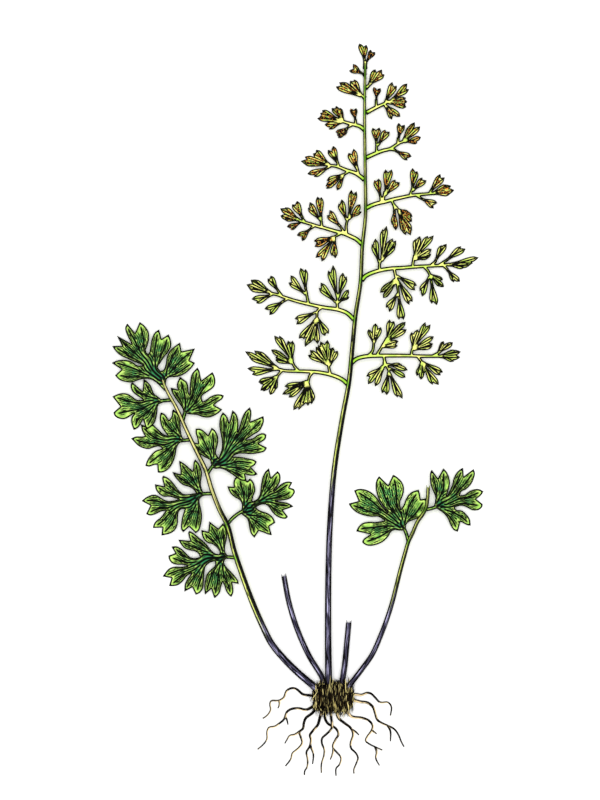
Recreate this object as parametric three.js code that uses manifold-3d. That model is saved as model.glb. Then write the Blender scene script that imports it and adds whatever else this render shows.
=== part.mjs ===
// A jersey fern lifted from the ground with its roots and laid flat on a surface.
// One tall fertile frond, a short sterile frond on each side of it, two broken stipes,
// a short scaly rhizome and ten branched roots. Millimetres, +Z up, +Y from roots to tip.
import * as THREE from "three";
import { mergeVertices } from "three/addons/utils/BufferGeometryUtils.js";
import Module from "manifold-3d";

const wasm = await Module();
wasm.setup();

// Driving sizes, in millimetres
const SQUARE = 0.25; // one square of the plan, whose x runs right and y runs down
const CROWN = [333, 696]; // the square under the middle of the rhizome: the part's origin
const LEAF = 0.7; // thickness of a blade
const CLEAR = 0.3; // gap between neighbouring pieces
const LONGEST_EDGE = 6; // a blade's triangles are cut to this, so that it can arch
const FINEST = 0.05; // detail smaller than this is left out of a blade's outline
const AXIS_WIDTH = 1.0; // width of the stalk that carries a fertile pinna
const SPRAY_STALK = 0.8; // width of the stalk that carries a fan of fertile lobes
const PETIOLULE = 0.9; // width of the short stalk of a sterile pinna
const RIPPLE = { rise: 0.22, waves: 7 }; // how far and how often a blade waves towards its tips
const STEM = { sides: 8, step: 4.5 }; // facets round a stipe, and the length of each
const RACHIS = { sides: 6, step: 5 };

// A fertile lobe: its width where it starts, its least and greatest width across, how much
// wider it is than its tips are apart, and how far along the width and the notch come
const LOBE = {
  stalk: 0.9 / SQUARE, single: 3.8, least: 4.6, most: 9, shoulders: 1.8, widestAt: 0.66, notchAt: 0.78,
};

// Rhizome
const CORE = {
  half: [5.3, 3.3, 3.9], height: 3.5, squareness: 3, ridges: 17, ridgeDepth: 0.35, rings: 8,
};
const CHAFF = { count: 34, length: 3.4, spread: 0.4, width: 0.9, thick: 0.7, seed: 7 };
const SOCKET = { depth: 5.5, sides: 8, steps: 5 };

// Roots
const ROOT = { tipRadius: 0.32, sides: 5, step: 2.2, branchShare: 0.8 };
const SAMPLES = 400; // points along a path when a place on it is looked for

function plan([x, y, z = 0]) {
  return new THREE.Vector3((x - CROWN[0]) * SQUARE, (CROWN[1] - y) * SQUARE, z);
}

// Stems: plan x, plan y, height of the centre line in mm. "turns" is the plan y where the
// dark stipe gives way to the green rachis.
const FERTILE_STEM = {
  turns: 480,
  radii: [0.88, 0.34],
  line: [
    [329.5, 690, 4.9], [328.7, 680, 5.0], [328, 640, 5.5], [328, 600, 5.9], [328.5, 560, 6.2],
    [330, 520, 6.4], [334, 470, 6.6], [341.9, 418.9, 6.7], [348.6, 382.4, 6.7],
    [351.9, 349.2, 6.7], [355.2, 316, 6.6], [360.2, 282.9, 6.5], [361.8, 249.7, 6.2],
    [365.1, 216.6, 5.8], [365, 177, 5.2], [364.4, 124, 4.1], [364.6, 88, 3.3], [365.2, 64, 2.7],
  ],
};
const LEFT_STEM = {
  turns: 625,
  radii: [0.9, 0.42],
  line: [
    [317.5, 689, 4.6], [313.3, 684.7, 4.6], [298.7, 672.2, 4.7], [284, 657.6, 4.9],
    [271.5, 642.1, 5.2], [262, 623.1, 5.5], [253.2, 602.5, 5.8], [244.4, 579.1, 5.9],
    [234.5, 550, 6.0], [228, 525, 6.0], [219.5, 508, 6.0], [211.8, 488, 5.9], [206.3, 470, 5.8],
    [196.5, 450, 5.5], [187, 430, 5.2], [178, 410, 4.8], [167, 390, 4.4], [163, 380, 4.3],
  ],
};
const RIGHT_STEM = {
  turns: 600,
  radii: [0.7, 0.45],
  line: [
    [347, 689.5, 4.8], [348.8, 685.2, 4.8], [360.7, 669.2, 4.9], [371.9, 653.3, 5.1],
    [380.7, 633.4, 5.3], [387.8, 614.2, 5.5], [392.6, 598.3, 5.7], [396.6, 582.3, 5.8],
    [400.6, 566.4, 5.9], [404.6, 552, 6.0], [407.8, 541, 6.0], [411.7, 533, 6.0],
    [416.5, 521.7, 6.0], [422, 513.8, 6.0], [425.3, 507.4, 6.0], [426.9, 498, 5.8],
    [427.5, 487.5, 5.5],
  ],
};
// The two stipes whose fronds are broken off
const STUBS = {
  stub_left: {
    radii: [0.7, 0.66],
    line: [
      [324, 689, 3.2], [322.9, 678.8, 3.3], [309, 655, 3.1], [297, 628, 2.8], [289, 602, 2.5],
      [284, 576, 2.2],
    ],
  },
  stub_right: {
    radii: [0.75, 0.7],
    line: [
      [341, 690, 3.4], [342, 681.7, 3.5], [344.5, 665, 3.3], [346.5, 645, 3.0],
      [348.6, 622.3, 2.7],
    ],
  },
};

// Sterile pinnae. Each row of an outline is one smooth stretch of the margin: it starts at
// a tip, a notch or the stalk, and the next row's first point ends it.
const LEFT_PINNAE = {
  terminal: {
    stalk: [[164, 382], [162, 378]], tipHeight: 2.0, bow: 1.0,
    outline: [
      [
        [165, 391], [162, 388], [157, 383], [152, 380], [146, 379], [140, 380], [133, 382.5],
        [126, 382], [120, 380],
      ],
      [[115.5, 375.5]],
      [[122, 369.5]],
      [[112, 363], [118, 360.5], [126, 360], [133, 362], [138, 365.5]],
      [[143.5, 365.5], [135, 362], [128, 359], [120, 355], [115, 350]],
      [[112.5, 346]],
      [[122.5, 346]],
      [[117, 335.5]],
      [[132, 344], [127, 334], [125.5, 328]],
      [[127.5, 323.5]],
      [[135.5, 333]],
      [[140, 322], [145, 326], [149, 332], [149.5, 340], [148, 346], [146.5, 351]],
      [[148.5, 354.5], [150, 352], [151, 345], [152.5, 338], [155, 333]],
      [[159.5, 329.5]],
      [[162, 339]],
      [[169, 334.5], [171.5, 341], [171.5, 347], [169, 352], [165, 357], [161, 363], [158.5, 367]],
      [[161, 371], [164, 370], [166, 365], [167, 358], [169, 353], [172, 349]],
      [[180.5, 342.5]],
      [[182, 351.5]],
      [[195.5, 348.5]],
      [[190, 360.5]],
      [[195.5, 363], [192, 368], [186, 373.5], [178, 377], [170, 377.5], [167.5, 379], [166.5, 384]],
      [[167, 390]],
    ],
  },
  left_1: {
    stalk: [[171.5, 401.5], [160, 401]], tipHeight: 1.3, bow: 0.5,
    outline: [
      [[162, 399.5], [158, 396], [155, 394], [153, 390], [151, 385]],
      [[144, 378.5]],
      [[143, 391]],
      [[132.5, 382], [131, 385], [131.5, 389], [134, 393], [138, 396]],
      [[143.5, 400], [137, 399.5], [132, 396], [127, 393.5], [120, 393.5]],
      [[112.5, 396.5]],
      [[120.5, 406.5]],
      [[113.5, 412.5], [115, 416], [119, 418.5], [125, 419], [130, 416.5]],
      [[134.5, 413.5], [132, 417], [131.5, 422]],
      [[134, 430], [138, 428], [141, 424.5]],
      [[143.5, 419.5]],
      [[146.5, 430], [151, 427], [155, 423], [157, 417], [158, 411], [158.5, 406], [160, 404]],
      [[163, 403]],
    ],
  },
  left_2: {
    stalk: [[190.5, 440], [181, 440.5]], tipHeight: 0.35, bow: 0.5,
    outline: [
      [[185, 438.5], [183, 437], [181.5, 431], [181, 425], [180, 416]],
      [[173.5, 409], [172.5, 411], [172, 416]],
      [[169.5, 420], [168, 418], [165, 414]],
      [[161, 412.5], [160, 417], [160.5, 422], [162, 427], [164.5, 431]],
      [[168, 435.5], [164, 434], [160, 430.5]],
      [[153, 424]],
      [[148, 427]],
      [[141, 424], [142, 430]],
      [[145, 436], [142, 436.5], [136, 436.5]],
      [[131, 438.5], [134, 441.5], [138, 445.5], [143, 448], [149, 449], [155, 447], [160, 446.5]],
      [[162.5, 448.5], [156, 450.5], [151, 455], [147, 461]],
      [[145.5, 466], [150, 466.5], [154, 465]],
      [[157.5, 464.5]],
      [
        [158, 472.5], [162, 472.5], [167, 470.5], [171, 466.5], [174, 461], [176, 455],
        [177, 449], [178.5, 445], [181, 442.5],
      ],
      [[185, 442]],
    ],
  },
  left_3: {
    stalk: [[215, 493.5], [200, 493.5]], tipHeight: 0.35, bow: 0.9,
    outline: [
      [[203, 490], [201.5, 485], [202, 478], [202.5, 475], [201.5, 468], [199, 463]],
      [[195.5, 459], [194, 462], [193.5, 467]],
      [[193, 470.5], [189, 467], [184, 463]],
      [[179.5, 460.5], [179.5, 463], [180.5, 468]],
      [[181, 474]],
      [[172.5, 471.5], [174.5, 475.5], [178, 480], [183, 484.5], [189, 486.5], [193, 488.5]],
      [[196.5, 492.5], [190, 493.5], [184, 493.5], [179, 489.5], [174, 483], [169, 478]],
      [[163.5, 475.5], [162.5, 477], [163, 481]],
      [[164.5, 486]],
      [[155, 484], [156, 489], [159, 493.5], [164, 496.5], [170, 496.5]],
      [[179, 499], [175, 500], [168, 500.5], [163, 498.5], [157, 495], [151, 495], [145, 498]],
      [[141.5, 501]],
      [[150.5, 505.5]],
      [[146, 514], [150, 515.5], [156, 514], [161, 511.5]],
      [[166, 510.5], [161, 517], [156, 521], [153.5, 525]],
      [[153, 528]],
      [[162.5, 527.5]],
      [
        [161.5, 535.5], [166, 534.5], [171, 533], [175.5, 529.5], [178, 524], [178.5, 517],
        [179, 512], [181.5, 509],
      ],
      [[185, 508.5], [182.5, 517], [181.5, 523], [181.5, 529]],
      [[183.5, 532]],
      [[189.5, 526.5]],
      [
        [196, 533], [199.5, 530], [201.5, 524], [202.5, 517], [202, 510], [200.5, 504],
        [200, 499.5], [202, 496.5],
      ],
      [[206, 495]],
    ],
  },
  left_4: {
    stalk: [[236.5, 556.5], [224, 556]], tipHeight: 0.35, bow: 0.2,
    outline: [
      [[228, 554.5], [226, 552], [225.5, 547], [226.5, 541], [227, 539], [227.5, 533], [226, 527]],
      [[223.5, 522.5]],
      [[218.5, 528]],
      [[209.5, 521]],
      [[208.5, 531.5]],
      [[201.5, 529.5], [202, 534], [204, 539], [208, 542.5], [213, 544], [217, 547], [220, 552]],
      [[219, 553.5], [216, 553], [212, 550], [208, 545], [204, 541], [199, 537], [194, 533]],
      [[189.5, 530.5], [188.5, 532], [189, 536]],
      [[190.5, 540.5]],
      [[178.5, 539.5], [180.5, 543], [184.5, 548], [190, 550], [195, 551], [199, 553.5]],
      [[200, 556.5], [196, 557.5], [191, 557], [186, 552.5], [181, 548], [176, 546]],
      [[171.5, 546.5]],
      [[175.5, 553]],
      [[168.5, 555.5], [169, 559], [172, 563], [177, 564.5], [182, 564.5]],
      [[187.5, 565.5], [182, 566.5], [175, 566.5], [169, 568.5], [165, 573]],
      [[162.5, 576.5]],
      [[171.5, 578]],
      [[169, 586], [173, 586], [178, 585], [183, 581], [187, 576]],
      [[191.5, 573], [187, 579.5], [185, 584]],
      [[184.5, 591.5]],
      [[192.5, 587]],
      [
        [196, 594.5], [200, 592.5], [203, 588.5], [204, 583], [204.5, 576], [205, 571],
        [206, 566], [209, 563], [214, 561],
      ],
      [[215.5, 561.5], [215, 565], [211, 569], [207, 573.5], [205.5, 579], [204.5, 585]],
      [[205, 594.5]],
      [[211.5, 588.5]],
      [[214.5, 598], [218, 595], [220.5, 591], [221.5, 586]],
      [[223, 581.5], [224.5, 585], [226, 590], [229, 594.5]],
      [[231.5, 596.5], [233.5, 592], [233.5, 587]],
      [[232.5, 582]],
      [[239, 583.5], [238.5, 580], [235, 575], [230, 569.5], [226, 565], [224.5, 561], [226, 558.5]],
      [[230, 557.5]],
    ],
  },
  right_1: {
    stalk: [[185.5, 420], [186.5, 408]], tipHeight: 0.6, bow: 0.5,
    outline: [
      [[184, 413], [183, 409], [181, 405.5], [176, 399], [172.5, 393]],
      [[170.5, 387.5]],
      [[178, 389.5], [177, 385]],
      [[180, 376.5], [183, 379], [187, 382], [188.5, 387], [189, 392]],
      [[190, 394.5], [190, 387], [190.5, 380], [192, 374]],
      [[197.5, 367.5], [199.5, 371], [200.5, 376]],
      [[201.5, 380.5]],
      [[212.5, 372], [214.5, 376], [215.5, 382], [214, 387], [209, 391], [204, 394.5], [202, 397]],
      [[203, 401.5], [206, 400], [210, 397], [216, 394.5], [221, 394.5]],
      [[224, 395.5], [222.5, 399], [218, 402]],
      [[214.5, 405]],
      [[222.5, 409.5], [220, 412], [215, 415.5], [209, 417.5], [203, 417], [197, 415], [191, 414.5]],
      [[188, 414]],
    ],
  },
  right_2: {
    stalk: [[208, 474], [212, 467], [217, 461]], tipHeight: 1.6, bow: 1.0,
    outline: [
      [[211, 463], [210.5, 460], [205, 457], [199, 453], [195, 449], [192.5, 445]],
      [[191.5, 442]],
      [[198.5, 443], [197.5, 438], [196, 433]],
      [[196, 428.5], [200, 428.5], [204, 430.5]],
      [[208.5, 435]],
      [[212, 427.5], [216, 431], [218.5, 437], [218.5, 443], [217, 449], [216.5, 453]],
      [[219, 457.5], [222, 448], [222, 440], [220.5, 432], [219.5, 425], [220.5, 417]],
      [[223, 412], [227, 416]],
      [[229.5, 422.5]],
      [[232.5, 410], [236.5, 414], [238.5, 420], [238.5, 427]],
      [[238, 431.5], [240, 425], [242, 418], [245, 412]],
      [[250, 407], [251.5, 412]],
      [[250.5, 421.5]],
      [[263.5, 416], [264, 421], [262.5, 426], [259.5, 431], [254, 434.5]],
      [[246.5, 439.5], [252, 438.5], [258, 434.5], [263, 433]],
      [[266.5, 434.5], [265.5, 439]],
      [[259, 443.5]],
      [[267, 447.5], [265, 451], [259, 453], [251, 454], [243, 453.5], [237, 454]],
      [[233, 456.5], [240, 456.5], [248, 458], [254, 459.5]],
      [[257, 461.5], [255, 465]],
      [[251.5, 467]],
      [[258, 474], [254, 475.5], [248, 475]],
      [[245.5, 474]],
      [[247, 481], [241, 480], [235, 476], [229, 472], [222, 468.5], [216, 468.5]],
      [[213, 468]],
    ],
  },
  right_3: {
    stalk: [
      [228.5, 524], [232, 518.5], [238, 513.5], [246, 509], [252, 505],
    ],
    tipHeight: 0.35, bow: 0.5,
    outline: [
      [[241.5, 510], [242, 504], [240, 500], [235, 497], [231, 493.5], [228.5, 489]],
      [[227.5, 486]],
      [[234, 486.5], [233.5, 483], [235, 478]],
      [[240, 475.5], [244, 477]],
      [[247.5, 481]],
      [[250, 478], [253, 481], [255, 486], [255.5, 491], [253.5, 496]],
      [[252.5, 501], [257, 499], [259.5, 495], [260.5, 489], [261.5, 482], [263, 476], [265.5, 471.5]],
      [[269, 468]],
      [[271, 477.5]],
      [[277.5, 471], [280, 474], [280.5, 479], [279.5, 483], [277, 487]],
      [[274, 490.5], [281, 484], [285, 482], [290, 481.5]],
      [[292.5, 482.5]],
      [[289.5, 487.5]],
      [[294, 489], [295, 491.5], [293.5, 495], [290, 498.5], [285, 500], [279, 500.5]],
      [[276, 500.5], [281, 501.5], [287, 502.5], [291, 504.5]],
      [[293.5, 506.5]],
      [[283, 510]],
      [
        [288, 516.5], [286, 518.5], [281, 518], [276, 515.5], [272, 511.5], [269, 507],
        [266, 504.5], [261, 504.5],
      ],
      [[256, 507], [260, 510], [268, 513], [273, 517]],
      [[275.5, 522.5]],
      [[269.5, 526]],
      [[272, 535], [268, 534], [263, 532]],
      [[259, 530.5]],
      [[254.5, 537.5], [251, 533], [249.5, 528], [248.5, 522], [247, 518], [244, 515.5]],
      [[242, 514]],
    ],
  },
};
const RIGHT_PINNAE = {
  left_1: {
    stalk: [[407.8, 540], [405, 531], [401, 524], [398, 520]], tipHeight: 0.35, bow: 0.6,
    outline: [
      [
        [403, 530], [398, 530], [395, 529.5], [391, 531], [388, 536], [383, 541], [377, 544],
        [370, 545.5], [365, 544.5],
      ],
      [[362, 542], [363, 539], [367, 536]],
      [[370, 534]],
      [[356, 531], [358, 527], [362, 523], [368, 521.5], [376, 521.5]],
      [[384, 520], [378, 516.5], [371, 516.5], [363, 515], [356, 512], [351, 507.5]],
      [[348.5, 503.5]],
      [[358.5, 501]],
      [[354, 490.5], [358, 489], [363, 489], [369, 491], [374, 494.5], [378, 499], [381, 504]],
      [[387.5, 511.5], [383, 506], [379, 500], [376.5, 493], [375.5, 486], [376.5, 480]],
      [[379, 476]],
      [[388, 485]],
      [[393, 474.5], [397, 477], [401.5, 481.5], [403.5, 486], [403.5, 492], [402, 497], [400, 502]],
      [[400.5, 508.5], [403, 505], [405, 500], [407.5, 495.5], [412, 491.5]],
      [[418.5, 489.5], [419.5, 493]],
      [[420.5, 499]],
      [
        [425.5, 498], [426.5, 502], [425, 508], [422.5, 513], [418, 517.5], [412, 520],
        [407, 522.5], [405.5, 526],
      ],
      [[406, 530]],
    ],
  },
  right_1: {
    stalk: [[425, 510], [432, 507.5], [440, 504.5], [447, 501.5]], tipHeight: 0.35, bow: 0.5,
    outline: [
      [[433, 506], [434.5, 500], [434.5, 496], [432, 490], [430, 484], [429.5, 478], [430, 472]],
      [[431.5, 469.5]],
      [[437.5, 478]],
      [[443, 468], [446.5, 472], [449, 478], [449.5, 484], [448, 490]],
      [[446.5, 495.5], [451.5, 485], [453, 479], [456, 473], [459, 470]],
      [[463, 467.5]],
      [[463.5, 476.5]],
      [[473.5, 469], [475, 473], [473.5, 479], [471, 484], [466, 489], [461, 491.5]],
      [[459.5, 495], [464, 494.5], [470, 490.5], [476, 489], [480, 489.5]],
      [[483.5, 491.5], [480.5, 495.5]],
      [[476, 499]],
      [[482.5, 504], [482, 507], [478, 510], [472, 510], [466, 507], [461, 505.5]],
      [[454.5, 507], [456, 509.5], [461, 510], [466, 514], [469.5, 519]],
      [[470.5, 525.5], [467, 525], [463, 523]],
      [[460, 521.5]],
      [[457.5, 531.5], [453, 529.5], [449.5, 524], [447, 518], [444, 514], [441, 511.5]],
      [[438, 509.5]],
    ],
  },
};

// Fertile pinnae. "axis" is the stalk of the pinna, "stalks" its side stalks, and a lobe
// is where it starts and then its one tip or its two.
const FERTILE_PINNAE = {
  tip: {
    axis: [[365, 70], [364.8, 62]], tipHeight: 0.35, bow: 0.2, stalks: [[[365, 68], [366, 63]]],
    lobes: [[364.5, 63, 359.3, 43.4, 366.3, 44.8], [366, 63, 370.8, 50, 375.3, 52.5]],
  },
  left_7: {
    axis: [[365, 76.5], [363.5, 74.5]], tipHeight: 1.6, bow: 0.2, stalks: [],
    lobes: [[364, 75.5, 352.8, 64.3, 348.8, 71.3]],
  },
  right_6: {
    axis: [[365, 89.5], [369, 86]], tipHeight: 1.6, bow: 0.2, stalks: [],
    lobes: [[368, 87, 375.3, 69.8], [368.5, 86.5, 382, 69.8, 384.5, 75]],
  },
  left_6: {
    axis: [[365, 99.5], [361.5, 96]], tipHeight: 1.4, bow: 0.3, stalks: [],
    lobes: [
      [362, 97, 349.8, 81.5, 354, 80], [361, 97, 341.8, 82.3, 339, 82.6], [361, 97.5, 335.6, 87],
    ],
  },
  right_5: {
    axis: [[365.5, 114], [370, 111.5], [375, 108.8], [384, 104.5], [390, 101.5]],
    tipHeight: 1.0, bow: 0.4, stalks: [[[376, 108.5], [376, 100]]],
    lobes: [
      [376, 101, 373.5, 87.8, 380.3, 88.8], [384, 104.5, 392.2, 82.3, 396.8, 86],
      [390, 101.5, 407.3, 83.5, 409.2, 89.5], [389, 102, 406, 98.3, 407.3, 102.3],
      [387, 103.2, 405.5, 105, 406.3, 107.6], [384, 105, 400.2, 117.3],
      [384, 105.5, 393.8, 116.5, 391.8, 120.3],
    ],
  },
  left_5: {
    axis: [[364.4, 131], [360, 127.5], [355.5, 126], [350, 124.5], [345, 123], [339, 121]],
    tipHeight: 1.0, bow: 0.4, stalks: [[[355.5, 125.5], [355.3, 120]], [[352, 125.5], [347.5, 128.3]]],
    lobes: [
      [355.4, 122, 350.3, 109.3, 356, 108.8], [342, 121.5, 331.5, 108.3, 336, 106.2],
      [343.5, 121.5, 339.8, 108.3], [340, 121, 322, 110.4, 319.8, 113.5],
      [341, 121.6, 319.5, 116.3, 317, 118.8], [343, 123, 324.5, 125.2, 328.7, 130],
      [348.5, 128, 335.4, 133, 337, 136.5], [348.5, 128, 338, 138.6, 343.5, 136.8],
    ],
  },
  right_4: {
    axis: [
      [365.3, 159], [370, 156.7], [376, 154], [382, 151.7], [390, 149.5], [399, 143.7],
      [405, 141.5],
    ],
    tipHeight: 0.8, bow: 0.5,
    stalks: [[[376.3, 154], [376.3, 145]], [[397.5, 144.5], [398, 138]], [[389, 150], [396, 151]]],
    lobes: [
      [376, 146, 372.3, 128.5, 379.3, 128.2], [377, 147, 385, 130.2, 389.5, 132.3],
      [398, 140, 398.5, 123.2, 404.5, 125], [402, 142.5, 411.3, 125.5, 414.8, 122.3],
      [403.5, 142, 420.3, 126.5], [403, 142.5, 421, 137.3, 417.3, 143.5],
      [394, 150.6, 411.5, 157, 407.3, 161],
    ],
  },
  left_4: {
    axis: [
      [364.4, 181], [360, 177.3], [355, 174], [350, 172.2], [345, 170.5], [340, 168.3],
      [335, 166.8], [329, 166],
    ],
    tipHeight: 0.8, bow: 0.5,
    stalks: [
      [[358.3, 175], [356.8, 168]], [[338.8, 168], [337, 162]], [[349, 172], [343.5, 175.5]],
    ],
    lobes: [
      [357, 171, 348.3, 153.5], [357, 171, 353.5, 149.3], [337.5, 164, 327.8, 150.2],
      [337.5, 164, 333, 146.3], [330, 166, 312.8, 153.8, 316, 150],
      [330, 166, 304.5, 157], [330, 166, 300.5, 161.2, 303.5, 163.8],
      [331, 167, 307.2, 174.3, 314, 177.3], [344.5, 175, 326.5, 181.2],
      [344, 175.5, 325.3, 186.8, 326, 189.5], [344, 175.5, 336.8, 191.3],
    ],
  },
  right_3: {
    axis: [
      [365.1, 209.5], [372, 206], [378, 204], [385, 202.5], [392, 200.4], [400, 198.6],
      [407, 197], [415, 195.6], [425, 194.6], [432, 194],
    ],
    tipHeight: 0.8, bow: 0.6,
    stalks: [
      [[381, 203], [380, 196]], [[382.5, 202.5], [384.5, 192]], [[409.5, 196.5], [411.7, 190]],
      [[391, 200.5], [393.3, 206], [394.5, 211]], [[393, 205], [399, 211.5]], [[416, 196], [421, 199]],
    ],
    lobes: [
      [380.2, 198.5, 374, 181, 378.3, 179.3], [384.5, 196, 385.3, 169.9, 391.6, 170],
      [384, 197, 395, 180.3, 399.6, 183], [411.5, 192, 412.3, 168.3, 417, 171.5],
      [412, 192, 422, 177.8, 426.3, 180.8], [428, 194.5, 440.3, 174.2, 444.6, 177.6],
      [431, 194, 447, 185, 451.3, 186], [431, 194.2, 454.3, 190.2, 450, 194.3],
      [420, 198.5, 437.3, 203.5, 433.5, 209], [394.2, 209, 391.5, 225.5, 395.6, 231.3],
      [398, 210.5, 403.4, 233.8, 405.5, 235.8], [398, 210.5, 410.5, 236, 411.8, 231.3],
      [397, 209.5, 408.8, 213.3, 412.2, 217.3], [397, 209.5, 411.8, 222.3],
    ],
  },
  left_3: {
    axis: [
      [362, 245.5], [356, 240], [350, 237], [345, 234.8], [340, 233.3], [332, 231],
      [325, 228.8], [318, 227], [310, 224.3], [303, 222.2], [299, 220.5],
    ],
    tipHeight: 0.6, bow: 0.6,
    stalks: [
      [
        [346.5, 235], [346, 226], [348, 219],
      ],
      [[344.5, 234.5], [340.5, 227.5]], [[321.8, 227.7], [321, 220]],
      [[305, 222.7], [302.5, 219]], [[315, 226], [310.5, 229]], [[341, 233.8], [334.5, 237.5]],
    ],
    lobes: [
      [346.8, 222.5, 338.3, 204.2, 341.5, 199.7], [348, 220, 351.2, 190, 356.5, 191.8],
      [347.8, 220.5, 360, 204.8, 361.6, 212.5], [341.5, 229, 326.6, 216, 329.4, 210.4],
      [321, 222, 307.8, 208.2, 309.6, 202.3], [321.2, 222, 317.3, 196.8, 321.3, 197.3],
      [303.3, 220.2, 292, 204.5, 297, 201], [300, 221, 280, 208.5, 285, 207.4],
      [300, 221, 280.3, 215.8, 284, 219.6], [302, 222, 286.6, 227.2, 290.8, 230.5],
      [311.5, 228.5, 296.6, 235.8, 302, 241.8], [335, 237.3, 313.5, 241.6, 315.5, 245.3],
      [334.5, 237.5, 314.3, 247.3], [334.5, 237.5, 315.3, 258.5, 321.5, 262.2],
      [334.8, 237.5, 331.7, 256.8, 335.2, 259.2],
    ],
  },
  right_2: {
    axis: [
      [361.3, 281.5], [364.5, 277.3], [369, 274.6], [375, 272.3], [382, 270.5], [392, 269],
      [402, 268.4], [412, 267.5], [422, 266.8], [432, 266.2], [442, 265.7], [449, 264.5],
    ],
    tipHeight: 0.35, bow: 0.6,
    stalks: [
      [[379.5, 271], [379, 265], [381.5, 259.5]], [[412, 267.5], [413, 261], [413.8, 256]],
      [[430, 266.3], [436, 261]], [[438, 266], [446, 260.5]],
      [[393.7, 269], [395, 276], [396.5, 283], [398.3, 296]], [[423.5, 267], [428, 272], [431, 280]],
      [[443, 265.7], [447.5, 270]],
    ],
    lobes: [
      [379, 265, 371.5, 244.5, 375, 239], [381, 261.5, 382.3, 229.3, 386.3, 226.2],
      [381, 262, 390, 240.5, 392.6, 238.8], [381, 262, 395.8, 241, 395.5, 246],
      [413.6, 259, 415, 239.3, 419.8, 236.3], [413.8, 259.5, 427.5, 236, 433.6, 235.7],
      [413.8, 260, 431.3, 249.5], [413.5, 260.5, 431, 254.5, 429, 257.7],
      [434, 263, 441.3, 245.3, 446.5, 244], [444, 262, 461, 246.3, 465.6, 248.8],
      [447, 264.7, 478.7, 257.5, 472.8, 263.3], [446, 265, 470, 265.3, 464.5, 267.6],
      [395.5, 279, 381, 291.3, 379.4, 293.4], [396, 282, 384, 297, 382.6, 298.6],
      [398, 293, 385.3, 308, 388.8, 312.6], [398.3, 294.5, 398.5, 320.3, 403.3, 320.3],
      [396.3, 279, 409, 305.5, 412.4, 302.3], [395.5, 275.5, 416.7, 286, 415, 291],
      [429.5, 276, 419, 291.3, 421.6, 297.2], [430.8, 279, 431.3, 304.3, 436.6, 305.6],
      [429.5, 274.5, 442.8, 280.2], [430, 275.5, 443.8, 287.3, 440, 287],
      [446, 268.5, 453.5, 282.7, 459.8, 281.8],
    ],
  },
  left_2: {
    axis: [
      [354.3, 320.5], [347, 313.7], [341, 311], [335, 309.5], [326, 308.3], [318, 306.8],
      [310, 304.9], [300, 302.5], [292, 300.2], [284, 297.5], [278, 295.3], [270, 293.3],
    ],
    tipHeight: 1.5, bow: 0.8,
    stalks: [
      [[337.5, 310], [337, 303], [338, 296]], [[308.5, 304.5], [307, 297], [306, 290.5]],
      [[282, 296.7], [277.5, 290]], [[288, 299], [284.5, 301]],
      [[322, 307.7], [317.5, 311.5], [316.8, 320]],
    ],
    lobes: [
      [337, 304.5, 318.5, 288.5, 320.5, 283], [337.3, 300, 327.8, 270.7, 332.8, 265.2],
      [337.8, 299, 342.8, 273, 346.5, 276.8], [337.2, 304, 348.6, 290, 349.3, 297.5],
      [306.6, 296, 288.3, 283, 290.5, 275.5], [306, 293, 300.5, 268, 305.7, 269.3],
      [279, 292.5, 267.5, 278.8, 270.8, 275.7], [272, 293.8, 250.5, 280, 254, 279.6],
      [272, 293.8, 246.4, 284.6, 249, 289], [274, 294.5, 251.4, 299.3, 256.3, 303.6],
      [285.5, 300.5, 264.3, 309.3, 269.3, 315.5], [317.5, 312, 294.3, 319.2, 296, 324.8],
      [316.8, 318, 298.7, 339, 303, 339.7], [316.8, 319, 304.8, 347.3, 309.5, 344],
      [316.8, 319, 314, 341.5, 317.5, 344.5], [316.8, 317, 328.8, 334, 325, 336.5],
    ],
  },
  right_1: {
    axis: [
      [351, 363.5], [356, 359.3], [362, 357.2], [370, 356.2], [380, 355.9], [390, 355.8],
      [400, 355.8], [410, 355.9], [420, 356.3], [430, 356.3], [441, 356.3],
    ],
    tipHeight: 1.2, bow: 0.5,
    stalks: [
      [[367, 356.5], [372, 351.5], [373.6, 341]], [[376, 356], [382, 346], [386.5, 338]],
      [[411, 355.9], [412, 349.5], [415, 346.5]], [[432, 356.3], [439, 352.5]],
      [[383, 356], [385, 363], [389, 372]], [[384, 360], [383.5, 368]], [[417, 356.3], [422.5, 363.5]],
    ],
    lobes: [
      [373.4, 344, 368, 329.5], [373.4, 344, 375.3, 323.5], [373.4, 344, 380.7, 327.3],
      [386, 341, 389.2, 319.5, 393.8, 321.2], [386, 341, 402.5, 323, 405.5, 322],
      [385, 342.5, 406.5, 329.5], [382, 346, 398.3, 341.3], [381, 347.5, 397.5, 346],
      [412, 350, 411, 332.3, 417.5, 329.6], [413, 348.7, 425.2, 322, 430.5, 324.5],
      [413, 349, 433.8, 336.5], [412.3, 350, 433, 343.8, 432, 346.5],
      [437, 353.5, 443.4, 341.2], [437, 353.7, 449.5, 342.7, 452.8, 342.5],
      [438, 356.3, 456.5, 351, 460.8, 351.8], [438, 356.3, 460.2, 357.3, 454, 361.5],
      [383.8, 365, 365.6, 376.5, 367.5, 384.5], [383.6, 367, 374.6, 386.7],
      [388.5, 371, 381.4, 393.6, 386.4, 395.5], [388.5, 371, 397.2, 397.6, 402.3, 399],
      [385.5, 364, 401.6, 364.6, 407.5, 370.3], [387, 367, 405.3, 377.5],
      [421, 361.5, 416.3, 376.3], [421.5, 362.5, 420.5, 380, 424, 374],
      [422, 363, 432.4, 385, 438.6, 385], [421.5, 361.5, 442.9, 372.4, 440.5, 375.5],
    ],
  },
  left_1: {
    axis: [
      [347.5, 384.5], [343, 380.3], [338, 377.5], [331, 375], [325, 373.5], [315, 372],
      [305, 371.5], [295, 371.2], [285, 370.8], [276, 368.5],
    ],
    tipHeight: 0.35, bow: 0.5,
    stalks: [
      [[330.5, 375], [328.7, 368], [328, 362]], [[299, 371.3], [294.5, 366.5], [291.5, 360]],
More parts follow.
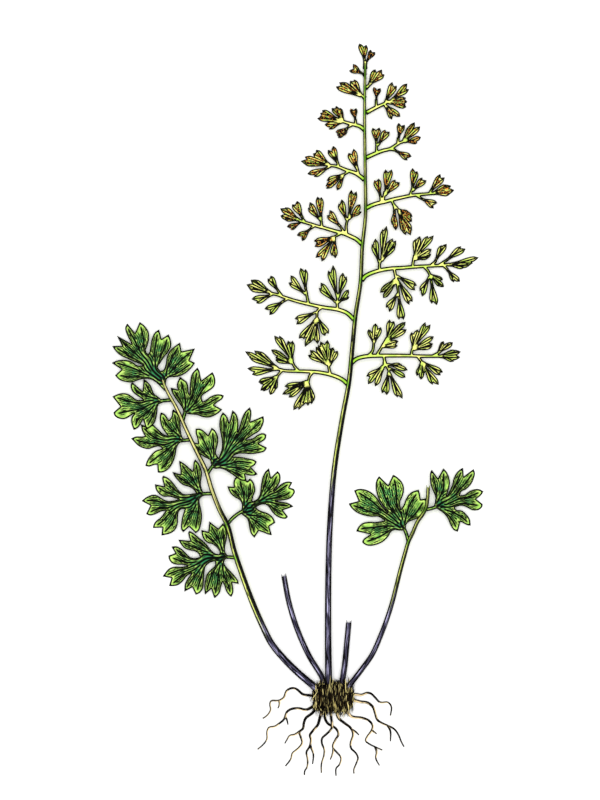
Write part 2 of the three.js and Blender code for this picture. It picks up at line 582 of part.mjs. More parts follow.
      [[282, 370.5], [277, 376.5]], [[313, 372], [309.5, 376.5], [308, 384]],
    ],
    lobes: [
      [328.5, 366, 307.6, 355.3, 309.8, 350], [328.3, 365, 315.5, 346.7, 318, 345],
      [328.2, 364, 320.3, 341.5, 327.3, 340], [328.6, 366, 330.5, 348, 333, 347.3],
      [
        328.6, 367, 337.6, 350.8,
      ],
      [293, 364, 275.2, 360, 275.3, 357], [292.5, 363, 271, 349.7, 274, 350.5],
      [292, 361.5, 274.2, 335.5, 279.3, 335.5], [292.5, 363, 288, 340.5, 292.5, 340.5],
      [279, 369.5, 254, 350.5, 257.5, 350.8], [278, 369, 244.8, 351.3, 249, 357.5],
      [279, 369.5, 247, 368.5, 251.8, 374.6], [277.5, 376, 258.3, 382.3, 260, 384],
      [278, 375.3, 260.3, 390.7, 263, 391.5], [278, 375.3, 270, 395, 275.5, 390],
      [308.5, 381, 284.3, 386.5, 288, 389.3], [308.3, 382, 282, 394.5, 286, 391.5],
      [308.2, 382, 288.5, 397.7], [308.2, 382, 293.3, 410.5, 298.6, 410.3],
      [308.2, 382, 302.8, 406.3], [308.2, 382, 307.8, 406], [308.3, 382, 311.7, 404.5, 313.8, 401],
    ],
  },
};

// Roots: "from" is the height at the rhizome and "falls" the length over which the root
// comes down to the surface; "branches" are its side roots.
const ROOTS = {
  root_01: {
    from: 2.6, falls: 7, radius: 0.44,
    line: [
      [318, 695.5], [309.7, 695], [303, 694.2], [296.5, 689], [291.3, 688], [286.2, 691.3],
      [284, 697.2], [278.9, 700.5], [270.8, 700.8], [270, 705.2], [270.8, 709.6],
      [267, 715.5], [262.7, 718.4],
    ],
    branches: [[[279.6, 700.5], [279.3, 705.2], [277.8, 708.2]]],
  },
  root_02: {
    from: 2.2, falls: 6, radius: 0.46,
    line: [
      [317.5, 701.5], [311.9, 706.7], [306, 709.6], [298.7, 708.2], [291.3, 708.9],
      [286.9, 711.8], [284, 719.2], [278.9, 723.6], [274.5, 726.5], [269.3, 727.2],
      [267, 731.6], [267, 739], [262, 745.6], [257.6, 749.2],
    ],
    branches: [[[284.5, 715.5], [286.8, 719.2], [288, 724.5]]],
  },
  root_03: {
    from: 1.6, falls: 6, radius: 0.48,
    line: [
      [321.5, 704], [315.5, 709], [311.9, 713.3], [306, 717.7], [303.8, 722.8], [303, 728.7],
      [299.4, 731.6], [300.9, 737.5], [302.3, 742.6], [298.7, 747.8], [292, 753.6],
      [291.3, 758], [285.5, 766],
    ],
    branches: [[[299.9, 731.2], [294.3, 734.6], [289.9, 735.3], [287, 739.5], [284.7, 743.4]]],
  },
  root_04: {
    from: 3.0, falls: 8, radius: 0.5,
    line: [
      [325, 702.5], [321.5, 711], [319.2, 720], [317.7, 725], [313.3, 730.2], [309.7, 735.3],
      [311, 739], [309.7, 746.3], [306.3, 752.2], [307.5, 758], [307.2, 766.8],
      [304.5, 771.2], [304.5, 774.9],
    ],
    branches: [[[309.9, 745], [313.3, 753.6], [312.6, 764]]],
  },
  root_05: {
    from: 1.4, falls: 4, radius: 0.46,
    line: [
      [327.5, 703], [325.6, 711], [325, 718.4], [328, 723.6], [335.4, 728], [338.6, 733.8],
      [335.4, 739.7], [332.7, 747], [336.8, 752.2], [340.9, 757.3], [339.8, 764],
      [336, 768.3], [336, 775.6],
    ],
    branches: [[[333.3, 748.5], [332.5, 754], [330.2, 759.5]]],
  },
  root_06: {
    from: 3.4, falls: 14, radius: 0.44,
    line: [
      [330.7, 702], [330.7, 711], [331.2, 718.4], [332, 723.6], [331.2, 728.7],
      [326.5, 733.8], [322, 738.2], [322, 744], [324.3, 749.2], [323.6, 756.6], [321.4, 764],
      [321.4, 772.7],
    ],
    branches: [],
  },
  root_07: {
    from: 1.8, falls: 6, radius: 0.5,
    line: [
      [336.5, 702], [336.7, 711], [338.3, 717.7], [344.2, 722.8], [350.8, 728],
      [353.2, 734.6], [350.8, 742], [350.8, 747.8], [355.9, 753], [358, 758], [355.9, 764],
      [353.7, 769.8], [354, 773.4],
    ],
    branches: [[[352, 729.5], [355.6, 731.6], [359, 735]]],
  },
  root_08: {
    from: 2.6, falls: 6, radius: 0.5,
    line: [
      [341.5, 703], [346, 710], [351.5, 716.3], [361.8, 717.7], [369, 720.6], [372.8, 725.8],
      [371.3, 731], [367.5, 736], [365.5, 740.5], [369.5, 744], [375.7, 747], [382.3, 750],
    ],
    branches: [
      [[375, 746.5], [376.7, 752.2], [375.7, 758], [379.4, 765.4]],
      [[371.5, 730], [376.7, 733.8]],
    ],
  },
  root_09: {
    from: 2.0, falls: 6, radius: 0.5,
    line: [
      [347, 699], [354.4, 700], [360.3, 701.6], [367.6, 702.6], [372.8, 706.7], [375, 712.6],
      [377.2, 719.6], [381.6, 722.8], [388.2, 725.8], [394, 728.7], [398.4, 734.6],
      [401.4, 742], [404, 746.6],
    ],
    branches: [[[387.6, 725.3], [390.4, 731], [390.4, 741.2]]],
  },
  root_10: {
    from: 3.0, falls: 7, radius: 0.44,
    line: [
      [347, 693.5], [356.6, 694], [361.8, 694.7], [366.2, 692.8], [370.6, 693.2],
      [375.7, 698], [380, 702.3], [388.2, 702.3], [391.4, 706.7], [390.4, 715.5],
    ],
    branches: [],
  },
};

// Solids and surfaces

function solidOf(geometry) {
  const bare = geometry.clone();
  bare.deleteAttribute("normal");
  bare.deleteAttribute("uv");
  const joined = mergeVertices(bare, 1e-4);
  const mesh = new wasm.Mesh({
    numProp: 3,
    vertProperties: new Float32Array(joined.attributes.position.array),
    triVerts: new Uint32Array(joined.index.array),
  });
  return new wasm.Manifold(mesh);
}

function geometryOf(solid) {
  const { vertProperties, triVerts, numProp } = solid.getMesh();
  const places = new Float32Array((vertProperties.length / numProp) * 3);
  for (let i = 0; i < places.length / 3; i++) {
    for (let axis = 0; axis < 3; axis++) places[3 * i + axis] = vertProperties[numProp * i + axis];
  }
  const geometry = new THREE.BufferGeometry();
  geometry.setAttribute("position", new THREE.BufferAttribute(places, 3));
  geometry.setIndex(new THREE.BufferAttribute(new Uint32Array(triVerts), 1));
  return geometry;
}

function joinAll(solids) {
  return solids.reduce((whole, piece) => whole.add(piece));
}

// What a cut leaves loose is dropped, and the main body is kept.
function mainBody(solid) {
  const bodies = solid.decompose();
  return bodies.reduce((best, body) => (body.volume() > best.volume() ? body : best));
}

// A flat shape one millimetre thick, given by its corners in the plan
function slab(corners) {
  const points = corners.map((corner) => {
    const { x, y } = plan(corner);
    return new THREE.Vector2(x, y);
  });
  if (THREE.ShapeUtils.area(points) < 0) points.reverse();
  return solidOf(new THREE.ExtrudeGeometry(new THREE.Shape(points), { depth: 1, bevelEnabled: false }));
}

// The corners of a strip of even width along a line of the plan
function strip(line, width) {
  const half = width / 2 / SQUARE;
  const sides = [[], []];
  line.forEach(([x, y], i) => {
    const [ax, ay] = line[Math.max(0, i - 1)];
    const [bx, by] = line[Math.min(line.length - 1, i + 1)];
    const length = Math.hypot(bx - ax, by - ay);
    const across = [(-(by - ay) / length) * half, ((bx - ax) / length) * half];
    sides[0].push([x + across[0], y + across[1]]);
    sides[1].unshift([x - across[0], y - across[1]]);
  });
  return [...sides[0], ...sides[1]];
}

// A wedge-shaped fertile lobe: narrow at its start, widest near the end, with a notch
// between two blunt tips, or one tip.
function lobe([x, y, ...tips]) {
  const two = tips.length === 4;
  const [ax, ay, bx, by] = two ? tips : [...tips, ...tips];
  const end = [(ax + bx) / 2, (ay + by) / 2];
  const length = Math.hypot(end[0] - x, end[1] - y);
  const along = [(end[0] - x) / length, (end[1] - y) / length];
  const across = [-along[1], along[0]];
  const apart = Math.hypot(ax - bx, ay - by);
  const fitting = THREE.MathUtils.clamp(apart + LOBE.shoulders, LOBE.least, LOBE.most);
  const widest = two ? fitting : LOBE.single;
  const at = (way, side) => [
    x + along[0] * length * way + across[0] * side,
    y + along[1] * length * way + across[1] * side,
  ];
  const sideOf = (px, py) => (px - x) * across[0] + (py - y) * across[1];
  const ends = [[ax, ay], [bx, by]].sort((p, q) => sideOf(...q) - sideOf(...p));
  const tip = two ? [ends[0], at(LOBE.notchAt, 0), ends[1]] : [ends[0]];
  return [
    at(0, LOBE.stalk / 2), at(LOBE.widestAt, widest / 2), ...tip,
    at(LOBE.widestAt, -widest / 2), at(0, -LOBE.stalk / 2),
  ];
}

// The upper faces of a flat solid, as a net of points and triangles
function netOf(flat) {
  const { vertProperties, triVerts, numProp } = flat.getMesh();
  const isTop = (v) => vertProperties[numProp * v + 2] > 0.5;
  const points = [];
  const places = new Map();
  const faces = [];
  for (let i = 0; i < triVerts.length; i += 3) {
    const corners = [triVerts[i], triVerts[i + 1], triVerts[i + 2]];
    if (!corners.every(isTop)) continue;
    faces.push(
      corners.map((v) => {
        if (!places.has(v)) {
          places.set(v, points.length);
          points.push([vertProperties[numProp * v], vertProperties[numProp * v + 1]]);
        }
        return places.get(v);
      }),
    );
  }
  return { points, faces };
}

// Triangles are halved across their longest edge until no edge is over the limit.
function refine({ points, faces }, limit) {
  const key = (a, b) => (a < b ? `${a} ${b}` : `${b} ${a}`);
  const size = (a, b) => Math.hypot(points[a][0] - points[b][0], points[a][1] - points[b][1]);
  for (;;) {
    const wanted = new Map();
    const longestOf = faces.map(([a, b, c]) => {
      const edges = [[a, b], [b, c], [c, a]];
      const longest = edges.reduce((best, edge) => (size(...edge) > size(...best) ? edge : best));
      edges.forEach((edge) => {
        const name = key(...edge);
        const agrees = edge === longest;
        wanted.set(name, (wanted.has(name) ? wanted.get(name) : true) && agrees);
      });
      return longest;
    });
    const middles = new Map();
    const halved = [];
    faces.forEach((face, i) => {
      const [a, b] = longestOf[i];
      const name = key(a, b);
      if (size(a, b) <= limit || !wanted.get(name)) {
        halved.push(face);
        return;
      }
      if (!middles.has(name)) {
        middles.set(name, points.length);
        points.push([(points[a][0] + points[b][0]) / 2, (points[a][1] + points[b][1]) / 2]);
      }
      const middle = middles.get(name);
      const c = face.find((v) => v !== a && v !== b);
      halved.push([a, middle, c], [middle, b, c]);
    });
    if (!middles.size) return { points, faces };
    faces = halved;
  }
}

// A closed blade of even thickness: the net is lifted to its height, with the same
// triangles above and below and a wall round its margin.
function blade({ points, faces }, height) {
  const places = [];
  const rim = new Map();
  const corner = ([x, y], side) => [x, y, height(x, y) + (side * LEAF) / 2];
  const triangle = (...corners) => corners.forEach((c) => places.push(...c));
  faces.forEach(([a, b, c]) => {
    const [p, q, r] = [points[a], points[b], points[c]];
    triangle(corner(p, 1), corner(q, 1), corner(r, 1));
    triangle(corner(r, -1), corner(q, -1), corner(p, -1));
    [[a, b], [b, c], [c, a]].forEach(([from, to]) => {
      if (!rim.delete(`${to} ${from}`)) rim.set(`${from} ${to}`, [points[from], points[to]]);
    });
  });
  rim.forEach(([p, q]) => {
    triangle(corner(p, 1), corner(p, -1), corner(q, -1));
    triangle(corner(p, 1), corner(q, -1), corner(q, 1));
  });
  const geometry = new THREE.BufferGeometry();
  geometry.setAttribute("position", new THREE.Float32BufferAttribute(places, 3));
  return solidOf(geometry);
}

// A pinna rises from the rachis at "root" and droops to its tip height at its furthest
// point. It bows up on the way and ripples towards its margin, and lies flat where it
// meets the surface.
function droop(root, reach, tipHeight, bow) {
  return (x, y) => {
    const way = Math.hypot(x - root.x, y - root.y) / reach;
    const turn = Math.atan2(y - root.y, x - root.x);
    const slope = root.z + (tipHeight - root.z) * way + 4 * bow * way * (1 - way);
    return Math.max(LEAF / 2, slope + RIPPLE.rise * way * way * Math.sin(RIPPLE.waves * turn));
  };
}

function pinna(stem, stalk, shapes, { tipHeight, bow }) {
  const root = nearestOn(stem, plan(stalk[0]));
  const flat = joinAll(shapes.map(slab)).simplify(FINEST);
  const net = netOf(flat);
  const reach = Math.max(...net.points.map(([x, y]) => Math.hypot(x - root.x, y - root.y)));
  return blade(refine(net, LONGEST_EDGE), droop(root, reach, tipHeight, bow));
}

function sterilePinna(stem, form) {
  const shapes = [strip(form.stalk, PETIOLULE), form.outline.flat()];
  return pinna(stem, form.stalk, shapes, form);
}

function fertilePinna(stem, form) {
  const shapes = [
    strip(form.axis, AXIS_WIDTH),
    ...form.stalks.map((line) => strip(line, SPRAY_STALK)),
    ...form.lobes.map(lobe),
  ];
  return pinna(stem, form.axis, shapes, form);
}

function nearestOn(path, target) {
  const samples = path.getSpacedPoints(SAMPLES);
  const away = (p) => Math.hypot(p.x - target.x, p.y - target.y);
  return samples.reduce((best, p) => (away(p) < away(best) ? p : best));
}

// A round stem along a path, whose radius changes evenly from one end to the other
function stem(path, [startRadius, endRadius], { sides, step }) {
  const steps = Math.max(2, Math.round(path.getLength() / step));
  const widest = Math.max(startRadius, endRadius);
  const section = new THREE.Shape(
    Array.from({ length: sides }, (_, i) => {
      const turn = (2 * Math.PI * i) / sides;
      return new THREE.Vector2(widest * Math.cos(turn), widest * Math.sin(turn));
    }),
  );
  const along = { steps, extrudePath: path, bevelEnabled: false };
  const geometry = new THREE.ExtrudeGeometry(section, along);
  const centres = path.getSpacedPoints(steps);
  const { tangents } = path.computeFrenetFrames(steps);
  const corner = new THREE.Vector3();
  const places = geometry.attributes.position;
  for (let i = 0; i < places.count; i++) {
    corner.fromBufferAttribute(places, i);
    const offRing = centres.map((centre, ring) => {
      const away = corner.clone().sub(centre);
      return Math.abs(away.dot(tangents[ring])) + Math.abs(away.length() - widest);
    });
    const ring = offRing.indexOf(Math.min(...offRing));
    const radius = startRadius + ((endRadius - startRadius) * ring) / steps;
    corner.sub(centres[ring]).multiplyScalar(radius / widest).add(centres[ring]);
    places.setXYZ(i, corner.x, corner.y, corner.z);
  }
  return solidOf(geometry);
}

function curve(line) {
  return new THREE.CatmullRomCurve3(line.map(plan));
}

// The stretch of a path between two shares of its length
function stretch(path, from, to, count = 14) {
  const shares = Array.from({ length: count + 1 }, (_, i) => from + ((to - from) * i) / count);
  return new THREE.CatmullRomCurve3(shares.map((share) => path.getPointAt(share)));
}

// The share of a stem's length at which it passes a given plan y
function shareAt(path, planY) {
  const y = plan([0, planY]).y;
  return path.getSpacedPoints(SAMPLES).findIndex((p) => p.y >= y) / SAMPLES;
}

function frond({ line, radii, turns }, pinnae) {
  const whole = curve(line);
  const share = shareAt(whole, turns);
  const gap = CLEAR / whole.getLength();
  const middleRadius = radii[0] + (radii[1] - radii[0]) * share;
  const stipe = stem(stretch(whole, 0, share), [radii[0], middleRadius], STEM);
  const rachis = stem(stretch(whole, share + gap, 1), [middleRadius, radii[1]], RACHIS);
  return { stipe, green: mainBody(joinAll([rachis, ...pinnae(whole)])) };
}

// Rhizome: a short ridged body lying along X, with chaff running up and down over it
function core() {
  const { half, height, squareness, ridges, ridgeDepth, rings } = CORE;
  const [hx, hy, hz] = half;
  const geometry = new THREE.SphereGeometry(1, ridges * 2, rings);
  const places = geometry.attributes.position;
  for (let i = 0; i < places.count; i++) {
    const ball = [places.getX(i), places.getY(i), places.getZ(i)];
    const sum = ball.reduce((total, part) => total + Math.abs(part) ** squareness, 0);
    const [x, y, z] = ball.map((part) => part * sum ** (-1 / squareness));
    const facet = Math.round((Math.atan2(ball[2], ball[0]) * ridges) / Math.PI);
    const groove = facet % 2 ? ridgeDepth / hz : 0;
    const ridge = 1 - groove * Math.hypot(ball[0], ball[2]);
    places.setXYZ(i, hx * x * ridge, hy * y, height + hz * z * ridge);
  }
  return solidOf(geometry);
}

function seededDraw(seed) {
  let state = seed;
  return () => {
    state = (state * 16807) % 2147483647;
    return state / 2147483647;
  };
}

// One chaff scale: a narrow pointed wedge whose root is sunk in the core
function scale(root, way, length) {
  const geometry = new THREE.ConeGeometry(CHAFF.width / 2, length, 4);
  geometry.scale(1, 1, CHAFF.thick / CHAFF.width);
  geometry.translate(0, length / 2, 0);
  const upright = new THREE.Vector3(0, 1, 0);
  geometry.applyQuaternion(new THREE.Quaternion().setFromUnitVectors(upright, way.clone().normalize()));
  geometry.translate(root.x, root.y, root.z);
  return solidOf(geometry);
}

// Scales stand in turn on the two ends of the core, from its left side over the top to its
// right side, and lean outwards a little.
function chaff() {
  const draw = seededDraw(CHAFF.seed);
  const [hx, hy, hz] = CORE.half;
  return Array.from({ length: CHAFF.count }, (_, i) => {
    const end = i % 2 ? 1 : -1;
    const turn = (Math.PI * (i + 0.5)) / CHAFF.count;
    const rim = 0.7 + 0.15 * draw();
    const across = Math.cos(turn) * rim;
    const up = Math.sin(turn) * rim;
    const root = new THREE.Vector3(hx * across, (end * hy) / 3, CORE.height + hz * up);
    const lean = 0.3 * (draw() - 0.5);
    const way = new THREE.Vector3(across * 0.35 + lean, end, 0.15 * up - 0.1);
    return scale(root, way, CHAFF.length * (1 + CHAFF.spread * (draw() - 0.4)));
  });
}

// The rhizome rests on the flat that the surface presses into it, and each stipe and root
// stands in a hole of its own, with the clearance all round.
function rhizome(planted) {
  const [width, depth, height] = CORE.half.map((half) => half * 4);
  const ground = new THREE.BoxGeometry(width, depth, height);
  ground.translate(0, 0, -height / 2);
  const body = joinAll([core(), ...chaff()]).subtract(solidOf(ground));
  const holes = planted.map(({ path, radius }) => {
    const share = Math.min(1, SOCKET.depth / path.getLength());
    const back = path.getTangentAt(0).multiplyScalar(-CLEAR).add(path.getPointAt(0));
    const points = [back, ...stretch(path, 0, share, SOCKET.steps).points];
    const wide = radius + CLEAR;
    return stem(new THREE.CatmullRomCurve3(points), [wide, wide], { sides: SOCKET.sides, step: 1 });
  });
  return mainBody(body.subtract(joinAll(holes)));
}

// The height of a root falls from the rhizome to the surface on which it lies.
function rootPath(line, { from, falls, radius }) {
  const lies = radius + 0.01;
  let gone = 0;
  const points = line.map((spot, i) => {
    const place = plan(spot);
    if (i > 0) gone += place.distanceTo(plan(line[i - 1]));
    const left = Math.max(0, 1 - gone / falls);
    place.z = lies + (from - lies) * left * left;
    return place;
  });
  return new THREE.CatmullRomCurve3(points);
}

function root(form) {
  const main = rootPath(form.line, form);
  const lying = { from: form.radius, falls: 1, radius: form.radius };
  const sides = form.branches.map((line) => {
    const path = rootPath(line, lying);
    const start = nearestOn(main, path.points[0]);
    path.points[0].z = start.z;
    return stem(path, [form.radius * ROOT.branchShare, ROOT.tipRadius], ROOT);
  });
  const solid = joinAll([stem(main, [form.radius, ROOT.tipRadius], ROOT), ...sides]);
  return { path: main, radius: form.radius, solid: mainBody(solid) };
}

// Finishes, one for each colour of the plant
const finishes = {
  blueGreen: new THREE.MeshStandardMaterial({ color: 0x5f9f6a, roughness: 0.7, metalness: 0 }),
  yellowGreen: new THREE.MeshStandardMaterial({ color: 0xb9c552, roughness: 0.7, metalness: 0 }),
  stipe: new THREE.MeshStandardMaterial({ color: 0x5d5874, roughness: 0.5, metalness: 0 }),
  chaff: new THREE.MeshStandardMaterial({ color: 0x5a4426, roughness: 0.9, metalness: 0 }),
  root: new THREE.MeshStandardMaterial({ color: 0x6b5a44, roughness: 0.9, metalness: 0 }),
};

const fern = new THREE.Group();

function add(name, solid, finish) {
  const mesh = new THREE.Mesh(geometryOf(solid), finish);
  mesh.name = name;
  fern.add(mesh);
}

const fertile = frond(FERTILE_STEM, (path) =>
  Object.values(FERTILE_PINNAE).map((form) => fertilePinna(path, form)),
);
const left = frond(LEFT_STEM, (path) =>
  Object.values(LEFT_PINNAE).map((form) => sterilePinna(path, form)),
);
const right = frond(RIGHT_STEM, (path) =>
  Object.values(RIGHT_PINNAE).map((form) => sterilePinna(path, form)),
);
const roots = Object.entries(ROOTS).map(([name, form]) => ({ name, ...root(form) }));
const stems = [FERTILE_STEM, LEFT_STEM, RIGHT_STEM, ...Object.values(STUBS)];

const planted = stems.map(({ line, radii }) => ({ path: curve(line), radius: radii[0] }));

add("rhizome", rhizome([...planted, ...roots]), finishes.chaff);
add("fertile_stipe", fertile.stipe, finishes.stipe);
add("fertile_blade", fertile.green, finishes.yellowGreen);
add("left_stipe", left.stipe, finishes.stipe);
add("left_blade", left.green, finishes.blueGreen);
add("right_stipe", right.stipe, finishes.stipe);
add("right_blade", right.green, finishes.blueGreen);
Object.entries(STUBS).forEach(([name, { line, radii }]) => {
  add(name, stem(curve(line), radii, STEM), finishes.stipe);
});
roots.forEach(({ name, solid }) => add(name, solid, finishes.root));

export default fern;
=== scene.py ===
# %% [markdown]
# # A jersey fern with its roots, laid flat
# The jersey fern is a small annual fern. This plant was lifted whole: a short scaly rhizome, fine
# roots, one tall finely divided fertile frond and a leafy sterile frond on each side of it. It is
# modelled lying on a pale surface and seen straight from above. Its solids come from a CAD pack,
# and every piece below is made in their place and at their size, so that both fit one frame.

import math

import bpy
import numpy as np
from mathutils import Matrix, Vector
from mathutils.geometry import delaunay_2d_cdt


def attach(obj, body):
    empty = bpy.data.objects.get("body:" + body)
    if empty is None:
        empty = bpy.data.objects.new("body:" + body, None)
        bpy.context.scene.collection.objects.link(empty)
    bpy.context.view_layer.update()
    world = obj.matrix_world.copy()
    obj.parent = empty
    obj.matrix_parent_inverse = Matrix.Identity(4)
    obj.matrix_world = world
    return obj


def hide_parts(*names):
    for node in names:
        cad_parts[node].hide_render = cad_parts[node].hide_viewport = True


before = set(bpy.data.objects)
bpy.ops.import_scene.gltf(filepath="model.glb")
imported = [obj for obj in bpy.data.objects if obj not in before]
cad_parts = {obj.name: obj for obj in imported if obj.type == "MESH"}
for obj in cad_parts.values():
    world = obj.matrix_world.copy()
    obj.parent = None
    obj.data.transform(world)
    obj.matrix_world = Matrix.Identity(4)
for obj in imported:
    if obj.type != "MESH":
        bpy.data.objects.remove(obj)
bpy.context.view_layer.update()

# %% [markdown]
# ## Sizes
# A pressed fern is nearly flat, so its shapes are easiest to lay out on squared paper. Everything
# is worked out on a plan of squares, 0.25 mm each, whose x runs right and whose y runs down. The
# origin is on the surface under the middle of the rhizome. Lengths are in millimetres, because a
# leaf is easier to think of in them, and a mesh is turned to metres only when Blender gets it.

# %% Driving sizes
MM = 0.001
SQUARE = 0.25
CROWN = (333, 696)
SOLID_LEAF = 0.7  # the blade's thickness in the solids
LEAF = 0.26  # the thickness of the leaf that is seen
STERILE_STEP = 0.34  # edge of a triangle in a sterile leaf
FERTILE_STEP = 0.28
RIPPLE = {"rise": 0.22, "waves": 7}


def plan(points):
    """Points of the plan as millimetres from the origin, with their height if they have one."""
    points = np.asarray(points, float)
    places = np.column_stack([points[:, 0] - CROWN[0], CROWN[1] - points[:, 1]]) * SQUARE
    return np.column_stack([places, points[:, 2:]])


print("The corner of the plan lies at", plan([(0, 0)])[0], "mm")


# %% [markdown]
# ## Colours and nodes
# Blender works in linear light, while the eye and a colour chart use sRGB. Each colour could be
# turned by hand, but one function does it without slips. One more adds a node with its settings and
# links. The last, paint, lays coats of colour over each other, as a miniature painter would: each
# coat shows only where some values, such as the distance to the margin, lie between two limits.

# %% Colours
def colour(code):
    """Linear RGBA of an sRGB colour such as "#c8d850"."""
    parts = [int(code[i : i + 2], 16) / 255 for i in (1, 3, 5)]
    return (*[c / 12.92 if c <= 0.04045 else ((c + 0.055) / 1.055) ** 2.4 for c in parts], 1)


print("A leaf green in linear light is", [round(part, 3) for part in colour("#8fbf5c")[:3]])


# %% One node
def add_node(tree, kind, inputs=(), **settings):
    """Adds a node. inputs are values, sockets or nodes, by name or in the order of its panel."""
    node = tree.nodes.new(kind)
    for name, value in settings.items():
        setattr(node, name, value)
    shown = [socket for socket in node.inputs if socket.enabled]
    for key, value in inputs.items() if isinstance(inputs, dict) else enumerate(inputs):
        socket = node.inputs[key] if isinstance(key, str) else shown[key]
        if isinstance(value, bpy.types.Node):
            value = next(output for output in value.outputs if output.enabled)
        if isinstance(value, bpy.types.NodeSocket):
            tree.links.new(value, socket)
        elif value is not None:
            socket.default_value = value
    return node


def new_material(name, ior, roughness, gloss):
    """A material with one Principled shader, and its node tree. A gloss of 0.5 is all the IOR allows."""
    material = bpy.data.materials.new(name)
    material.use_nodes = True
    shader = material.node_tree.nodes["Principled BSDF"]
    shader.inputs["IOR"].default_value = ior
    shader.inputs["Roughness"].default_value = roughness
    shader.inputs["Specular IOR Level"].default_value = gloss
    return material, material.node_tree, shader


trial, trial_tree, _ = new_material("trial", 1.5, 0.5, 0.5)
print("A new material has", len(trial_tree.nodes), "nodes")


# %% Coats of paint
def paint(tree, ground, *coats):
    """Coats of colour over a ground. Each shows where its values have gone from one limit to the next."""
    for code, *limits in coats:
        share = 1.0
        for limit in limits:
            part = add_node(tree, "ShaderNodeMapRange", limit, interpolation_type="SMOOTHSTEP")
            share = add_node(tree, "ShaderNodeMath", (share, part), operation="MULTIPLY")
        mixed = add_node(tree, "ShaderNodeMix", (share, ground, colour(code)), data_type="RGBA")
        ground = mixed.outputs[2]
    return ground


paint(trial_tree, colour("#ffffff"), ("#8fbf5c", (0.5, 0.0, 1.0)))
print("With one coat of paint it has", len(trial_tree.nodes))
bpy.data.materials.remove(trial)


# %% [markdown]
# ## Smooth lines
# The margin of a leaf is a chain of smooth stretches that meet in sharp tips and notches, and a
# stem or a root is one smooth line. Blender's own curves could draw them, but a curve object must
# be turned to a mesh before it can be measured. A short function draws them instead, through a few
# chosen points, with the same kind of curve that the solids use, and cuts them in even steps.

# %% Lines through chosen points
FINE = 9  # points that are worked out on each stretch between two chosen ones


def way_along(line):
    """How far along a line each of its points is."""
    return np.concatenate([[0], np.cumsum(np.linalg.norm(np.diff(line, axis=0), axis=1))])


def spline(points, step):
    """Even steps along a smooth line through points, as a centripetal Catmull-Rom curve."""
    points = np.asarray(points, float)
    fine = points
    if len(points) > 2:
        knots = np.vstack([2 * points[0] - points[1], points, 2 * points[-1] - points[-2]])
        t = np.linspace(0, 1, FINE + 1)[:-1, None]
        arcs = []
        for p0, p1, p2, p3 in zip(knots, knots[1:], knots[2:], knots[3:]):
            d0, d1, d2 = [math.sqrt(np.linalg.norm(b - a)) for a, b in ((p0, p1), (p1, p2), (p2, p3))]
            m1 = ((p1 - p0) / d0 - (p2 - p0) / (d0 + d1) + (p2 - p1) / d1) * d1
            m2 = ((p2 - p1) / d1 - (p3 - p1) / (d1 + d2) + (p3 - p2) / d2) * d1
            bend, turn = 3 * (p2 - p1) - 2 * m1 - m2, 2 * (p1 - p2) + m1 + m2
            arcs.append(p1 + m1 * t + bend * t**2 + turn * t**3)
        fine = np.vstack([*arcs, points[-1:]])
    gone = way_along(fine)
    wanted = np.linspace(0, gone[-1], max(1, round(gone[-1] / step)) + 1)
    return np.column_stack([np.interp(wanted, gone, part) for part in fine.T])


def ring_of(rows, step):
    """A closed margin, from rows that each start at a tip or a notch."""
    stretches = zip(rows, rows[1:] + rows[:1])
    return np.vstack([spline(plan(row + after[:1]), step)[:-1] for row, after in stretches])


trial_bow = spline([(0, 0), (5, 2), (10, 0)], 0.5)
print("A bow over 10 mm, 2 mm high, is", round(way_along(trial_bow)[-1], 1), "mm long")


# %% [markdown]
# ## From a margin to a leaf
# A fern leaf is a thin sheet. It could be a flat curve with a fill, but Blender fills a curve with
# long thin triangles that can't bend or hold a vein. Here the plan is split into small even
# triangles that follow the margin and the veins. Each point then knows how far it is from both, and
# these distances give the leaf its relief and its colours.

# %% Distances in the plan
def inside(points, ring):
    """Which points lie inside a closed ring."""
    x, y = points[:, 0, None], points[:, 1, None]
    (ax, ay), (bx, by) = ring.T, np.roll(ring, -1, axis=0).T
    with np.errstate(divide="ignore", invalid="ignore"):
        crossings = ((ay > y) != (by > y)) & (x < ax + (y - ay) * (bx - ax) / (by - ay))
    return crossings.sum(axis=1) % 2 == 1


def distance_to(points, starts, ends):
    """How far each point is from the nearest of some straight pieces, and which piece that is."""
    along = ends - starts
    squares = np.maximum((along**2).sum(axis=1), 1e-12)
    offset = points[:, None] - starts[None]
    share = np.clip((offset * along).sum(axis=2) / squares, 0, 1)
    gaps = np.linalg.norm(offset - share[..., None] * along, axis=2)
    closest = gaps.argmin(axis=1)
    return gaps[np.arange(len(points)), closest], closest


def nearest(line, place):
    """The point of a line that lies nearest to a place in the plan."""
    return line[np.linalg.norm(line[:, :2] - place[:2], axis=1).argmin()]


trial_gap = distance_to(np.array([(5.0, 0.0)]), trial_bow[:-1], trial_bow[1:])[0]
print("The middle of its chord is", round(float(trial_gap[0]), 2), "mm from the bow")


# %% A grid and a rim
def grid_over(low, high, step):
    """Points of an even triangular grid over a box."""
    rows = np.arange(low[1], high[1], step * math.sqrt(3) / 2)
    columns = np.arange(low[0], high[0] + step, step)
    shift = (np.arange(len(rows)) % 2) * step / 2
    return np.column_stack([(columns[None] + shift[:, None]).ravel(), np.repeat(rows, len(columns))])


def rim_of(corners):
    """The edges of a net that only one triangle has, in the order in which it goes round them."""
    sides = np.vstack([corners[:, [0, 1]], corners[:, [1, 2]], corners[:, [2, 0]]])
    known = {tuple(side) for side in sides.tolist()}
    return np.array([side for side in sides.tolist() if (side[1], side[0]) not in known])


print("Two triangles that share an edge have", len(rim_of(np.array([(0, 1, 2), (2, 1, 3)]))), "rim edges")


# %% The net of triangles
CLEAR = 0.6  # how far a free point keeps from a line, in steps
MERGED = 1e-4  # mm within which two points are one


